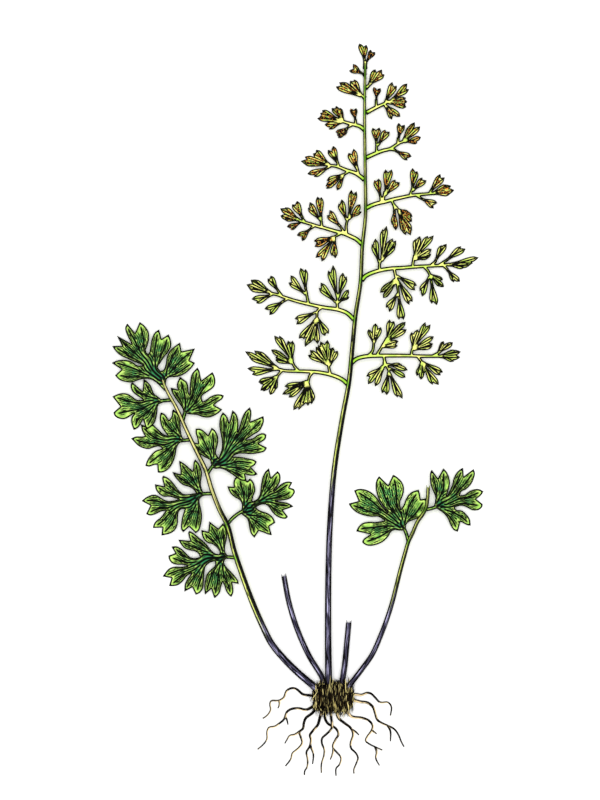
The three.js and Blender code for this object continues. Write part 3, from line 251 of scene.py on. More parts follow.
def net_of(rings, lines, step):
    """Triangles inside the rings, with the lines among their edges: points, corners and rim."""
    chains = [*rings, *lines]
    offsets = np.cumsum([0, *map(len, chains)])
    faces = [list(range(a, a + len(ring))) for a, ring in zip(offsets, rings)]
    spans = zip(offsets[len(rings) :], offsets[len(rings) + 1 :])
    edges = [(i, i + 1) for a, b in spans for i in range(a, b - 1)]
    fixed = np.vstack(chains)
    starts = np.vstack([*rings, *[line[:-1] for line in lines]])
    ends = np.vstack([*[np.roll(ring, -1, axis=0) for ring in rings], *[line[1:] for line in lines]])
    free = grid_over(fixed.min(axis=0), fixed.max(axis=0), step)
    free = free[np.any([inside(free, ring) for ring in rings], axis=0)]
    free = free[distance_to(free, starts, ends)[0] > CLEAR * step]
    places = [Vector(p) for p in np.vstack([fixed, free])]
    points, _, corners, *_ = delaunay_2d_cdt(places, edges, faces, 1, MERGED)
    used, corners = np.unique(np.array(corners), return_inverse=True)
    corners = corners.reshape(-1, 3)
    points = np.array([tuple(points[i]) for i in used])
    return points, corners, rim_of(corners)


trial_ring = np.array([(0.0, 0.0), (4.0, 0.0), (4.0, 3.0), (0.0, 3.0)])
trial_net = net_of([trial_ring], [trial_ring[[0, 2]]], 1.0)
print("A plate of 4 by 3 mm with one vein takes", len(trial_net[1]), "triangles of 1 mm")


# %% The closed sheet
def sheet_of(net, top, bottom, marks):
    """A closed sheet between two sets of heights. marks are values that each point keeps."""
    points, corners, rim = net
    count = len(points)
    vertices = np.vstack([np.column_stack([points, top]), np.column_stack([points, bottom])])
    walls = [(a, a + count, b + count, b) for a, b in rim.tolist()]
    faces = [*map(tuple, corners.tolist()), *map(tuple, (corners[:, ::-1] + count).tolist()), *walls]
    return vertices, faces, {name: np.tile(values, 2) for name, values in marks.items()}


def joined(sheets):
    """Several sheets as one mesh."""
    offsets = np.cumsum([0, *[len(vertices) for vertices, _, _ in sheets]])
    vertices = np.vstack([sheet[0] for sheet in sheets])
    faces = [tuple(i + a for i in face) for a, (_, part, _) in zip(offsets, sheets) for face in part]
    marks = {name: np.concatenate([sheet[2][name] for sheet in sheets]) for name in sheets[0][2]}
    return vertices, faces, marks


trial_flat = np.zeros(len(trial_net[0]))
print("As a closed sheet it has", len(sheet_of(trial_net, trial_flat + 1, trial_flat, {})[1]), "faces")


# %% [markdown]
# ## Pieces
# Each piece is a mesh object at the origin, with its place in its mesh, so that a pattern on object
# coordinates stays where it is. It is told which solids it stands for, which body it moves with
# and which finish it shows. All the pieces ride on one body, because nothing on the plant moves.

# %% A piece and its finish
SHARP = math.radians(50)  # edges that turn more than this stay crisp


def keep(mesh, mark, values):
    """Stores one number for each point of a mesh, for a material or a tree to read."""
    mesh.attributes.new(mark, "FLOAT", "POINT").data.foreach_set("value", np.asarray(values, np.float32))


def new_object(name, vertices, faces=(), marks=None, edges=()):
    """A mesh object at the origin, from places in millimetres and named point values."""
    mesh = bpy.data.meshes.new(name)
    mesh.from_pydata((np.asarray(vertices) * MM).tolist(), list(edges), list(faces))
    for mark, values in (marks or {}).items():
        keep(mesh, mark, values)
    made = bpy.data.objects.new(name, mesh)
    bpy.context.scene.collection.objects.link(made)
    return made


def finish_piece(piece, material, slot, *nodes):
    """Smooth faces, a material, and the solids that the piece stands for."""
    piece.data.materials.clear()
    piece.data.materials.append(material)
    piece.data.shade_smooth()
    piece.data.set_sharp_from_angle(angle=SHARP)
    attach(piece, "root")
    if nodes:
        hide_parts(*nodes)
    print(piece.name, "has", len(piece.data.polygons), "faces")


print("Edges sharper than", round(math.degrees(SHARP)), "degrees stay crisp")


# %% [markdown]
# ## Stems
# On the real frond the stipe and its rachis are one stalk: slate purple and wiry below, green
# above. Each part could be a tube of its own, but then the colour would break at the joint. Here
# one line runs the whole way, and the material turns along it. The points and radii are those of
# the solids: plan x, plan y and height. "turns" is the plan y where purple goes over into green,
# and "pales" the one above which the green is straw.

# %% The lines of the stems
FERTILE_STEM = {
    "turns": 480, "radii": [0.88, 0.34],
    "line": [
        [329.5, 690, 4.9], [328.7, 680, 5.0], [328, 640, 5.5], [328, 600, 5.9], [328.5, 560, 6.2],
        [330, 520, 6.4], [334, 470, 6.6], [341.9, 418.9, 6.7], [348.6, 382.4, 6.7],
        [351.9, 349.2, 6.7], [355.2, 316, 6.6], [360.2, 282.9, 6.5], [361.8, 249.7, 6.2],
        [365.1, 216.6, 5.8], [365, 177, 5.2], [364.4, 124, 4.1], [364.6, 88, 3.3], [365.2, 64, 2.7],
    ],
}
LEFT_STEM = {
    "turns": 625, "pales": 510, "radii": [0.9, 0.42],
    "line": [
        [317.5, 689, 4.6], [313.3, 684.7, 4.6], [298.7, 672.2, 4.7], [284, 657.6, 4.9],
        [271.5, 642.1, 5.2], [262, 623.1, 5.5], [253.2, 602.5, 5.8], [244.4, 579.1, 5.9],
        [234.5, 550, 6.0], [228, 525, 6.0], [219.5, 508, 6.0], [211.8, 488, 5.9], [206.3, 470, 5.8],
        [196.5, 450, 5.5], [187, 430, 5.2], [178, 410, 4.8], [167, 390, 4.4], [163, 380, 4.3],
    ],
}
RIGHT_STEM = {
    "turns": 600, "radii": [0.7, 0.45],
    "line": [
        [347, 689.5, 4.8], [348.8, 685.2, 4.8], [360.7, 669.2, 4.9], [371.9, 653.3, 5.1],
        [380.7, 633.4, 5.3], [387.8, 614.2, 5.5], [392.6, 598.3, 5.7], [396.6, 582.3, 5.8],
        [400.6, 566.4, 5.9], [404.6, 552, 6.0], [407.8, 541, 6.0], [411.7, 533, 6.0],
        [416.5, 521.7, 6.0], [422, 513.8, 6.0], [425.3, 507.4, 6.0], [426.9, 498, 5.8],
        [427.5, 487.5, 5.5],
    ],
}
STUBS = {
    "stub_left": {
        "radii": [0.7, 0.66],
        "line": [
            [324, 689, 3.2], [322.9, 678.8, 3.3], [309, 655, 3.1], [297, 628, 2.8], [289, 602, 2.5],
            [284, 576, 2.2],
        ],
    },
    "stub_right": {
        "radii": [0.75, 0.7],
        "line": [
            [341, 690, 3.4], [342, 681.7, 3.5], [344.5, 665, 3.3], [346.5, 645, 3.0],
            [348.6, 622.3, 2.7],
        ],
    },
}

STEM_STEP = 0.5
stem_lines = {
    "fertile": spline(plan(FERTILE_STEM["line"]), STEM_STEP),
    "left": spline(plan(LEFT_STEM["line"]), STEM_STEP),
    "right": spline(plan(RIGHT_STEM["line"]), STEM_STEP),
}
for side, line in stem_lines.items():
    print("The", side, "stem is", round(way_along(line)[-1]), "mm long")


# %% [markdown]
# ## How a pinna hangs
# A pinna rises from the rachis, bows up a little, and droops until its tip nears the surface. Cloth
# simulation could let it down, but a stiff living leaf keeps a bow of its own, so its height is a
# rule: a slope, a bow and a small ripple towards the tip. It is the rule of the solids. The leaf
# that is seen is thinner than the solid one, so it is let down to the solid's underside.

# %% Soft steps
def soft_step(value, low, high):
    """A smooth change from 0 to 1 while value goes from low to high."""
    t = np.clip((value - low) / (high - low), 0, 1)
    return t * t * (3 - 2 * t)


print("Halfway a soft step stands at", float(soft_step(0.5, 0, 1)))


# %% The droop of a pinna
LET_DOWN = 0.25  # the share of the pinna over which it comes down to the solid's underside


def droop(points, root, tip_height, bow):
    """The height of the leaf's middle at each point, and the way from its root, 0 to 1."""
    arm = points - root[:2]
    way = np.linalg.norm(arm, axis=1)
    way = way / way.max()
    turn = np.arctan2(arm[:, 1], arm[:, 0])
    slope = root[2] + (tip_height - root[2]) * way + 4 * bow * way * (1 - way)
    ripple = RIPPLE["rise"] * way**2 * np.sin(RIPPLE["waves"] * turn)
    middle = np.maximum(SOLID_LEAF / 2, slope + ripple)
    return middle - (SOLID_LEAF - LEAF) / 2 * np.minimum(1, way / LET_DOWN), way


trial_heights, _ = droop(np.array([(0.0, 0.0), (6.0, 0.0), (12.0, 0.0)]), np.array([0, 0, 5]), 1, 1)
print("A pinna of 12 mm from a root 5 mm up hangs at", np.round(trial_heights, 1), "mm")


# %% [markdown]
# ## Sterile leaves
# The sterile pinnae are broad and cut into toothed lobes. A leaf could be one shape placed many
# times, but no two of these are alike, and the cut of their lobes is what one knows the fern by.
# So each has a margin of its own: its points are listed row by row, and each row starts
# at the tip of a tooth or at the bottom of a notch. A row is written as x and y in turn. "stalk" is
# the line of its short stalk.

# %% Rows of numbers
def in_points(numbers):
    """A row of numbers as points of the plan, two to a point."""
    return [numbers[i : i + 2] for i in range(0, len(numbers), 2)]


def read_rows(forms):
    """Turns the rows of numbers in some forms to rows of points."""
    for form in forms.values():
        for key in form.keys() & {"stalk", "axis", "line"}:
            form[key] = in_points(form[key])
        for key in form.keys() & {"outline", "stalks", "branches"}:
            form[key] = [in_points(row) for row in form[key]]
    return forms


print("A row of six numbers is read as", in_points([165, 391, 162, 388, 157, 383]))


# %% The left sterile frond
LEFT_PINNAE = read_rows({
    "terminal": {
        "stalk": [164, 382, 162, 378], "tip_height": 2.0, "bow": 1.0,
        "outline": [
            [165, 391, 162, 388, 157, 383, 152, 380, 146, 379, 140, 380, 133, 382.5, 126, 382, 120, 380],
            [115.5, 375.5], [122, 369.5], [112, 363, 118, 360.5, 126, 360, 133, 362, 138, 365.5],
            [143.5, 365.5, 135, 362, 128, 359, 120, 355, 115, 350], [112.5, 346], [122.5, 346],
            [117, 335.5], [132, 344, 127, 334, 125.5, 328], [127.5, 323.5], [135.5, 333], [140, 322,
            145, 326, 149, 332, 149.5, 340, 148, 346, 146.5, 351], [148.5, 354.5, 150, 352, 151, 345,
            152.5, 338, 155, 333], [159.5, 329.5], [162, 339], [169, 334.5, 171.5, 341, 171.5, 347,
            169, 352, 165, 357, 161, 363, 158.5, 367], [161, 371, 164, 370, 166, 365, 167, 358, 169, 353,
            172, 349], [180.5, 342.5], [182, 351.5], [195.5, 348.5], [190, 360.5], [195.5, 363, 192, 368,
            186, 373.5, 178, 377, 170, 377.5, 167.5, 379, 166.5, 384], [167, 390],
        ],
    },
    "left_1": {
        "stalk": [171.5, 401.5, 160, 401], "tip_height": 1.3, "bow": 0.5,
        "outline": [
            [162, 399.5, 158, 396, 155, 394, 153, 390, 151, 385], [144, 378.5], [143, 391], [132.5, 382,
            131, 385, 131.5, 389, 134, 393, 138, 396], [143.5, 400, 137, 399.5, 132, 396, 127, 393.5,
            120, 393.5], [112.5, 396.5], [120.5, 406.5], [113.5, 412.5, 115, 416, 119, 418.5, 125, 419,
            130, 416.5], [134.5, 413.5, 132, 417, 131.5, 422], [134, 430, 138, 428, 141, 424.5],
            [143.5, 419.5], [146.5, 430, 151, 427, 155, 423, 157, 417, 158, 411, 158.5, 406, 160, 404],
            [163, 403],
        ],
    },
    "left_2": {
        "stalk": [190.5, 440, 181, 440.5], "tip_height": 0.35, "bow": 0.5,
        "outline": [
            [185, 438.5, 183, 437, 181.5, 431, 181, 425, 180, 416], [173.5, 409, 172.5, 411, 172, 416],
            [169.5, 420, 168, 418, 165, 414], [161, 412.5, 160, 417, 160.5, 422, 162, 427, 164.5, 431],
            [168, 435.5, 164, 434, 160, 430.5], [153, 424], [148, 427], [141, 424, 142, 430], [145, 436,
            142, 436.5, 136, 436.5], [131, 438.5, 134, 441.5, 138, 445.5, 143, 448, 149, 449, 155, 447,
            160, 446.5], [162.5, 448.5, 156, 450.5, 151, 455, 147, 461], [145.5, 466, 150, 466.5,
            154, 465], [157.5, 464.5], [158, 472.5, 162, 472.5, 167, 470.5, 171, 466.5, 174, 461,
            176, 455, 177, 449, 178.5, 445, 181, 442.5], [185, 442],
        ],
    },
    "left_3": {
        "stalk": [215, 493.5, 200, 493.5], "tip_height": 0.35, "bow": 0.9,
        "outline": [
            [203, 490, 201.5, 485, 202, 478, 202.5, 475, 201.5, 468, 199, 463], [195.5, 459, 194, 462,
            193.5, 467], [193, 470.5, 189, 467, 184, 463], [179.5, 460.5, 179.5, 463, 180.5, 468],
            [181, 474], [172.5, 471.5, 174.5, 475.5, 178, 480, 183, 484.5, 189, 486.5, 193, 488.5],
            [196.5, 492.5, 190, 493.5, 184, 493.5, 179, 489.5, 174, 483, 169, 478], [163.5, 475.5,
            162.5, 477, 163, 481], [164.5, 486], [155, 484, 156, 489, 159, 493.5, 164, 496.5,
            170, 496.5], [179, 499, 175, 500, 168, 500.5, 163, 498.5, 157, 495, 151, 495, 145, 498],
            [141.5, 501], [150.5, 505.5], [146, 514, 150, 515.5, 156, 514, 161, 511.5], [166, 510.5,
            161, 517, 156, 521, 153.5, 525], [153, 528], [162.5, 527.5], [161.5, 535.5, 166, 534.5,
            171, 533, 175.5, 529.5, 178, 524, 178.5, 517, 179, 512, 181.5, 509], [185, 508.5, 182.5, 517,
            181.5, 523, 181.5, 529], [183.5, 532], [189.5, 526.5], [196, 533, 199.5, 530, 201.5, 524,
            202.5, 517, 202, 510, 200.5, 504, 200, 499.5, 202, 496.5], [206, 495],
        ],
    },
    "left_4": {
        "stalk": [236.5, 556.5, 224, 556], "tip_height": 0.35, "bow": 0.2,
        "outline": [
            [228, 554.5, 226, 552, 225.5, 547, 226.5, 541, 227, 539, 227.5, 533, 226, 527],
            [223.5, 522.5], [218.5, 528], [209.5, 521], [208.5, 531.5], [201.5, 529.5, 202, 534,
            204, 539, 208, 542.5, 213, 544, 217, 547, 220, 552], [219, 553.5, 216, 553, 212, 550,
            208, 545, 204, 541, 199, 537, 194, 533], [189.5, 530.5, 188.5, 532, 189, 536],
            [190.5, 540.5], [178.5, 539.5, 180.5, 543, 184.5, 548, 190, 550, 195, 551, 199, 553.5],
            [200, 556.5, 196, 557.5, 191, 557, 186, 552.5, 181, 548, 176, 546], [171.5, 546.5],
            [175.5, 553], [168.5, 555.5, 169, 559, 172, 563, 177, 564.5, 182, 564.5], [187.5, 565.5,
            182, 566.5, 175, 566.5, 169, 568.5, 165, 573], [162.5, 576.5], [171.5, 578], [169, 586,
            173, 586, 178, 585, 183, 581, 187, 576], [191.5, 573, 187, 579.5, 185, 584], [184.5, 591.5],
            [192.5, 587], [196, 594.5, 200, 592.5, 203, 588.5, 204, 583, 204.5, 576, 205, 571, 206, 566,
            209, 563, 214, 561], [215.5, 561.5, 215, 565, 211, 569, 207, 573.5, 205.5, 579, 204.5, 585],
            [205, 594.5], [211.5, 588.5], [214.5, 598, 218, 595, 220.5, 591, 221.5, 586], [223, 581.5,
            224.5, 585, 226, 590, 229, 594.5], [231.5, 596.5, 233.5, 592, 233.5, 587], [232.5, 582],
            [239, 583.5, 238.5, 580, 235, 575, 230, 569.5, 226, 565, 224.5, 561, 226, 558.5],
            [230, 557.5],
        ],
    },
    "right_1": {
        "stalk": [185.5, 420, 186.5, 408], "tip_height": 0.6, "bow": 0.5,
        "outline": [
            [184, 413, 183, 409, 181, 405.5, 176, 399, 172.5, 393], [170.5, 387.5], [178, 389.5,
            177, 385], [180, 376.5, 183, 379, 187, 382, 188.5, 387, 189, 392], [190, 394.5, 190, 387,
            190.5, 380, 192, 374], [197.5, 367.5, 199.5, 371, 200.5, 376], [201.5, 380.5], [212.5, 372,
            214.5, 376, 215.5, 382, 214, 387, 209, 391, 204, 394.5, 202, 397], [203, 401.5, 206, 400,
            210, 397, 216, 394.5, 221, 394.5], [224, 395.5, 222.5, 399, 218, 402], [214.5, 405],
            [222.5, 409.5, 220, 412, 215, 415.5, 209, 417.5, 203, 417, 197, 415, 191, 414.5], [188, 414],
        ],
    },
    "right_2": {
        "stalk": [208, 474, 212, 467, 217, 461], "tip_height": 1.6, "bow": 1.0,
        "outline": [
            [211, 463, 210.5, 460, 205, 457, 199, 453, 195, 449, 192.5, 445], [191.5, 442], [198.5, 443,
            197.5, 438, 196, 433], [196, 428.5, 200, 428.5, 204, 430.5], [208.5, 435], [212, 427.5,
            216, 431, 218.5, 437, 218.5, 443, 217, 449, 216.5, 453], [219, 457.5, 222, 448, 222, 440,
            220.5, 432, 219.5, 425, 220.5, 417], [223, 412, 227, 416], [229.5, 422.5], [232.5, 410,
            236.5, 414, 238.5, 420, 238.5, 427], [238, 431.5, 240, 425, 242, 418, 245, 412], [250, 407,
            251.5, 412], [250.5, 421.5], [263.5, 416, 264, 421, 262.5, 426, 259.5, 431, 254, 434.5],
            [246.5, 439.5, 252, 438.5, 258, 434.5, 263, 433], [266.5, 434.5, 265.5, 439], [259, 443.5],
            [267, 447.5, 265, 451, 259, 453, 251, 454, 243, 453.5, 237, 454], [233, 456.5, 240, 456.5,
            248, 458, 254, 459.5], [257, 461.5, 255, 465], [251.5, 467], [258, 474, 254, 475.5,
            248, 475], [245.5, 474], [247, 481, 241, 480, 235, 476, 229, 472, 222, 468.5, 216, 468.5],
            [213, 468],
        ],
    },
    "right_3": {
        "stalk": [228.5, 524, 232, 518.5, 238, 513.5, 246, 509, 252, 505], "tip_height": 0.35,
        "bow": 0.5,
        "outline": [
            [241.5, 510, 242, 504, 240, 500, 235, 497, 231, 493.5, 228.5, 489], [227.5, 486],
            [234, 486.5, 233.5, 483, 235, 478], [240, 475.5, 244, 477], [247.5, 481], [250, 478,
            253, 481, 255, 486, 255.5, 491, 253.5, 496], [252.5, 501, 257, 499, 259.5, 495, 260.5, 489,
            261.5, 482, 263, 476, 265.5, 471.5], [269, 468], [271, 477.5], [277.5, 471, 280, 474,
            280.5, 479, 279.5, 483, 277, 487], [274, 490.5, 281, 484, 285, 482, 290, 481.5],
            [292.5, 482.5], [289.5, 487.5], [294, 489, 295, 491.5, 293.5, 495, 290, 498.5, 285, 500,
            279, 500.5], [276, 500.5, 281, 501.5, 287, 502.5, 291, 504.5], [293.5, 506.5], [283, 510],
            [288, 516.5, 286, 518.5, 281, 518, 276, 515.5, 272, 511.5, 269, 507, 266, 504.5, 261, 504.5],
            [256, 507, 260, 510, 268, 513, 273, 517], [275.5, 522.5], [269.5, 526], [272, 535, 268, 534,
            263, 532], [259, 530.5], [254.5, 537.5, 251, 533, 249.5, 528, 248.5, 522, 247, 518,
            244, 515.5], [242, 514],
        ],
    },
})

print("The left frond has", len(LEFT_PINNAE), "pinnae")


# %% The right sterile frond
RIGHT_PINNAE = read_rows({
    "left_1": {
        "stalk": [407.8, 540, 405, 531, 401, 524, 398, 520], "tip_height": 0.35, "bow": 0.6,
        "outline": [
            [403, 530, 398, 530, 395, 529.5, 391, 531, 388, 536, 383, 541, 377, 544, 370, 545.5,
            365, 544.5], [362, 542, 363, 539, 367, 536], [370, 534], [356, 531, 358, 527, 362, 523,
            368, 521.5, 376, 521.5], [384, 520, 378, 516.5, 371, 516.5, 363, 515, 356, 512, 351, 507.5],
            [348.5, 503.5], [358.5, 501], [354, 490.5, 358, 489, 363, 489, 369, 491, 374, 494.5,
            378, 499, 381, 504], [387.5, 511.5, 383, 506, 379, 500, 376.5, 493, 375.5, 486, 376.5, 480],
            [379, 476], [388, 485], [393, 474.5, 397, 477, 401.5, 481.5, 403.5, 486, 403.5, 492,
            402, 497, 400, 502], [400.5, 508.5, 403, 505, 405, 500, 407.5, 495.5, 412, 491.5],
            [418.5, 489.5, 419.5, 493], [420.5, 499], [425.5, 498, 426.5, 502, 425, 508, 422.5, 513,
            418, 517.5, 412, 520, 407, 522.5, 405.5, 526], [406, 530],
        ],
    },
    "right_1": {
        "stalk": [425, 510, 432, 507.5, 440, 504.5, 447, 501.5], "tip_height": 0.35, "bow": 0.5,
        "outline": [
            [433, 506, 434.5, 500, 434.5, 496, 432, 490, 430, 484, 429.5, 478, 430, 472], [431.5, 469.5],
            [437.5, 478], [443, 468, 446.5, 472, 449, 478, 449.5, 484, 448, 490], [446.5, 495.5,
            451.5, 485, 453, 479, 456, 473, 459, 470], [463, 467.5], [463.5, 476.5], [473.5, 469,
            475, 473, 473.5, 479, 471, 484, 466, 489, 461, 491.5], [459.5, 495, 464, 494.5, 470, 490.5,
            476, 489, 480, 489.5], [483.5, 491.5, 480.5, 495.5], [476, 499], [482.5, 504, 482, 507,
            478, 510, 472, 510, 466, 507, 461, 505.5], [454.5, 507, 456, 509.5, 461, 510, 466, 514,
            469.5, 519], [470.5, 525.5, 467, 525, 463, 523], [460, 521.5], [457.5, 531.5, 453, 529.5,
            449.5, 524, 447, 518, 444, 514, 441, 511.5], [438, 509.5],
        ],
    },
})

print("The right frond has", len(RIGHT_PINNAE), "pinnae")


# %% [markdown]
# ## Veins as lanes
# A vein runs from the stalk to each tooth, and finer ones run beside it. They could be drawn one by
# one, which is hundreds of lines. But veins run as water would from the stalk to the teeth, so they
# are found as the lanes of a calm flow. Along the margin a value is held level between two teeth
# and rises by one at each tooth. Inside, each point takes the mean of its neighbours. The lines
# along which the value keeps still are the veins, and where it is steep they lie close.

# %% The teeth of a margin
def turning_of(ring):
    """1 for a ring that runs anticlockwise, and -1 for one that runs clockwise."""
    after = np.roll(ring, -1, axis=0)
    return np.sign((ring[:, 0] * after[:, 1] - after[:, 0] * ring[:, 1]).sum())


def tooth_tips(rows, turning):
    """The outward corners of a margin."""
    corners = [plan(row[:1])[0] for row in rows]
    before = [plan(row[-1:])[0] for row in rows[-1:] + rows[:-1]]
    after = [plan((row + following[:1])[1:2])[0] for row, following in zip(rows, rows[1:] + rows[:1])]
    tips = []
    for corner, last, following in zip(corners, before, after):
        way_in, way_out = corner - last, following - corner
        if turning * (way_in[0] * way_out[1] - way_in[1] * way_out[0]) > 0:
            tips.append(corner)
    return np.array(tips)


for name, form in {**LEFT_PINNAE, **RIGHT_PINNAE}.items():
    rows = form["outline"]
    print(name, "has", len(tooth_tips(rows, turning_of(ring_of(rows, STERILE_STEP)))), "teeth")


# %% The calm flow
def lanes_of(net, ring, tips, gate):
    """A value that is level along each vein, and rises by one at each tooth round the margin."""
    points, corners, rim = net
    count = len(points)
    start = np.linalg.norm(ring - gate, axis=1).argmin()
    order = (np.arange(len(ring)) - start) % len(ring)
    teeth = order[[np.linalg.norm(ring - tip, axis=1).argmin() for tip in tips]]
    passed = (order[None] > teeth[:, None]).sum(axis=0) + 0.5 * (order[None] == teeth[:, None]).sum(axis=0)
    edge = np.unique(rim)
    free = np.setdiff1d(np.arange(count), edge)
    lanes = np.zeros(count)
    lanes[edge] = passed[np.linalg.norm(points[edge][:, None] - ring[None], axis=2).argmin(axis=1)]
    pull = np.zeros((count, count))
    for i, j in ((0, 1), (1, 2), (2, 0)):
        pull[corners[:, i], corners[:, j]] = 1
        pull[corners[:, j], corners[:, i]] = 1
    system = np.diag(pull.sum(axis=1)[free]) - pull[np.ix_(free, free)]
    lanes[free] = np.linalg.solve(system, pull[np.ix_(free, edge)] @ lanes[edge])
    return lanes


trial_lanes = lanes_of(trial_net, trial_ring, trial_ring[2:3], trial_ring[0])
print("With one tooth, the lanes on the plate run from", trial_lanes.min(), "to", trial_lanes.max())


# %% How steep a value is
FLATTEST, STEEPEST = 0.05, 8  # lanes to a millimetre, past which nothing more can be told apart


def slope_of(net, values):
    """How fast a value changes at each point of a net, for each millimetre."""
    points, corners, _ = net
    a, b, c = corners.T
    first, second = points[b] - points[a], points[c] - points[a]
    rise, climb = values[b] - values[a], values[c] - values[a]
    area = np.maximum(first[:, 0] * second[:, 1] - first[:, 1] * second[:, 0], 1e-6)
    slope_x = (rise * second[:, 1] - climb * first[:, 1]) / area
    slope_y = (climb * first[:, 0] - rise * second[:, 0]) / area
    slope = np.repeat(np.minimum(np.hypot(slope_x, slope_y), STEEPEST), 3)
    met = np.bincount(corners.ravel(), minlength=len(points))
    return np.bincount(corners.ravel(), slope, len(points)) / met


trial_slope = slope_of(trial_net, 2 * trial_net[0][:, 0])
print("A value that grows by 2 for each millimetre has a slope of", round(trial_slope.mean(), 2))


# %% Bands along a line
def distance_to_lines(points, lines):
    """How far each point is from the edge of the nearest line, below 0 on the line itself."""
    starts = np.vstack([line[:-1] for line, _ in lines])
    ends = np.vstack([line[1:] for line, _ in lines])
    halves = np.concatenate([np.broadcast_to(half, len(line))[:-1] for line, half in lines])
    gap, which = distance_to(points, starts, ends)
    return gap - halves[which]


def band_of(line, half):
    """The outline of a band along a line. half is half its width, one number or one for each point."""
    ahead = np.gradient(line, axis=0)
    ahead = ahead / np.linalg.norm(ahead, axis=1)[:, None]
    across = np.column_stack([-ahead[:, 1], ahead[:, 0]]) * np.broadcast_to(half, len(line))[:, None]
    return np.vstack([line - across, (line + across)[::-1]])


print("A band along the trial bow has", len(band_of(trial_bow, 0.5)), "points")


# %% [markdown]
# ## One sterile pinna
# The real pinna is about a quarter of a millimetre thick, puffed a little between its veins, thin
# at its margin, and joined to the rachis by a round stalk. Sculpting would give that relief, but by
# hand and for each pinna anew. Here the distances make it: a fold follows the lanes, a pillow rises
# from the margin, and the stalk swells as a rod.

# %% The relief of a sterile leaf
STALK_HALF = 0.48
STERILE_RELIEF = {"fold": 0.07, "calm": 1.3, "pillow": 0.06, "rod": 0.24}  # mm, and lanes to a mm
STERILE_RISE = {"fold": (0.1, 0.8), "pillow": (0, 0.6), "whole": (0, 0.5)}  # mm from the margin
MARGIN_SHARE = 0.55  # of the leaf's thickness, at its margin


def risen(marks, limits):
    """How far each part of the relief has risen, 0 to 1, at each point's distance to the margin."""
    return {part: soft_step(marks["margin"], *ends) for part, ends in limits.items()}


def beyond_leaf(points, ring, on_stalk):
    """The distance to the stalk, but no less than that to the leaf's margin inside the leaf."""
    from_margin = distance_to(points, ring, np.roll(ring, -1, axis=0))[0]
    return np.where(inside(points, ring), np.maximum(on_stalk, from_margin), on_stalk)


def sterile_faces(height, marks):
    """The heights of the upper and the lower face of a sterile leaf."""
    relief, rise = STERILE_RELIEF, risen(marks, STERILE_RISE)
    calm = np.exp(-((marks["steep"] / relief["calm"]) ** 2)) * rise["fold"]
    fold = relief["fold"] * np.cos(2 * math.pi * marks["lane"]) * calm
    pillow = relief["pillow"] * rise["pillow"]
    rod = relief["rod"] * np.sqrt(np.clip(-marks["stalk"] / STALK_HALF, 0, 1))
    thin = LEAF * (MARGIN_SHARE + (1 - MARGIN_SHARE) * rise["whole"]) / 2
    return height + thin + pillow + fold + rod, height - thin + fold - rod


print("The leaf is", LEAF, "mm thick, and", round(LEAF * MARGIN_SHARE, 2), "mm at its margin")


# %% A sterile pinna from its margin
def sterile_pinna(stem, form):
    """A pinna as a closed sheet, with the values that its material reads."""
    ring = ring_of(form["outline"], STERILE_STEP)
    joint = nearest(stem, plan(form["stalk"][:1])[0])
    stalk = spline(np.vstack([joint[:2], plan(form["stalk"][1:])]), STERILE_STEP)
    net = net_of([ring, band_of(stalk, STALK_HALF)], [stalk], STERILE_STEP)
    points, _, rim = net
    tips = tooth_tips(form["outline"], turning_of(ring))
    lane = lanes_of(net, ring, tips, stalk[np.argmax(inside(stalk, ring))])
    marks = {
        "lane": lane,
        "steep": np.maximum(slope_of(net, lane), FLATTEST),
        "margin": distance_to(points, points[rim[:, 0]], points[rim[:, 1]])[0],
        "tooth": np.linalg.norm(points[:, None] - tips[None], axis=2).min(axis=1),
        "stalk": beyond_leaf(points, ring, distance_to_lines(points, [(stalk, STALK_HALF)])),
    }
    height, _ = droop(points, joint, form["tip_height"], form["bow"])
    return sheet_of(net, *sterile_faces(height, marks), marks)


def sterile_frond(side, pinnae):
    """All the pinnae of a sterile frond as one piece."""
    sheets = [sterile_pinna(stem_lines[side], form) for form in pinnae.values()]
    return new_object(f"{side}_leaf", *joined(sheets))


left_leaf = sterile_frond("left", LEFT_PINNAE)
right_leaf = sterile_frond("right", RIGHT_PINNAE)
for leaf in (left_leaf, right_leaf):
    print(leaf.name, "has", len(leaf.data.vertices), "points")


# %% [markdown]
# ## The surface of a sterile leaf
# The leaf is blue green in the middle and towards its stalk, and a light yellow green towards its
# teeth. A fine dark line edges it. A dark vein runs to each tooth, finer ones run beside it, and
# near the stalk they join. A picture of a leaf could be laid over it, but it would blur up close and
# stretch over the folds. Coats of colour that follow the lanes stay sharp at any size.

# %% Veins in a leaf
def vein_gap(tree, lane, steep, number):
    """How far a point is from the nearest vein, in millimetres, with number veins to a tooth."""
    turns = add_node(tree, "ShaderNodeMath", (lane, number, -number / 2), operation="MULTIPLY_ADD")
    beside = add_node(tree, "ShaderNodeMath", (turns, 0.5), operation="PINGPONG")
    spread = add_node(tree, "ShaderNodeMath", (steep, number), operation="MULTIPLY")
    return add_node(tree, "ShaderNodeMath", (beside, spread), operation="DIVIDE")


steep = np.zeros(len(left_leaf.data.vertices), np.float32)
left_leaf.data.attributes["steep"].data.foreach_get("value", steep)
print("The veins to two neighbouring teeth lie", round(float(1 / np.median(steep)), 1), "mm apart")


# %% Dark veins over a blade
BROADEST = (0.36, 0.28)  # mm from the middle of a vein, between which its edge fades


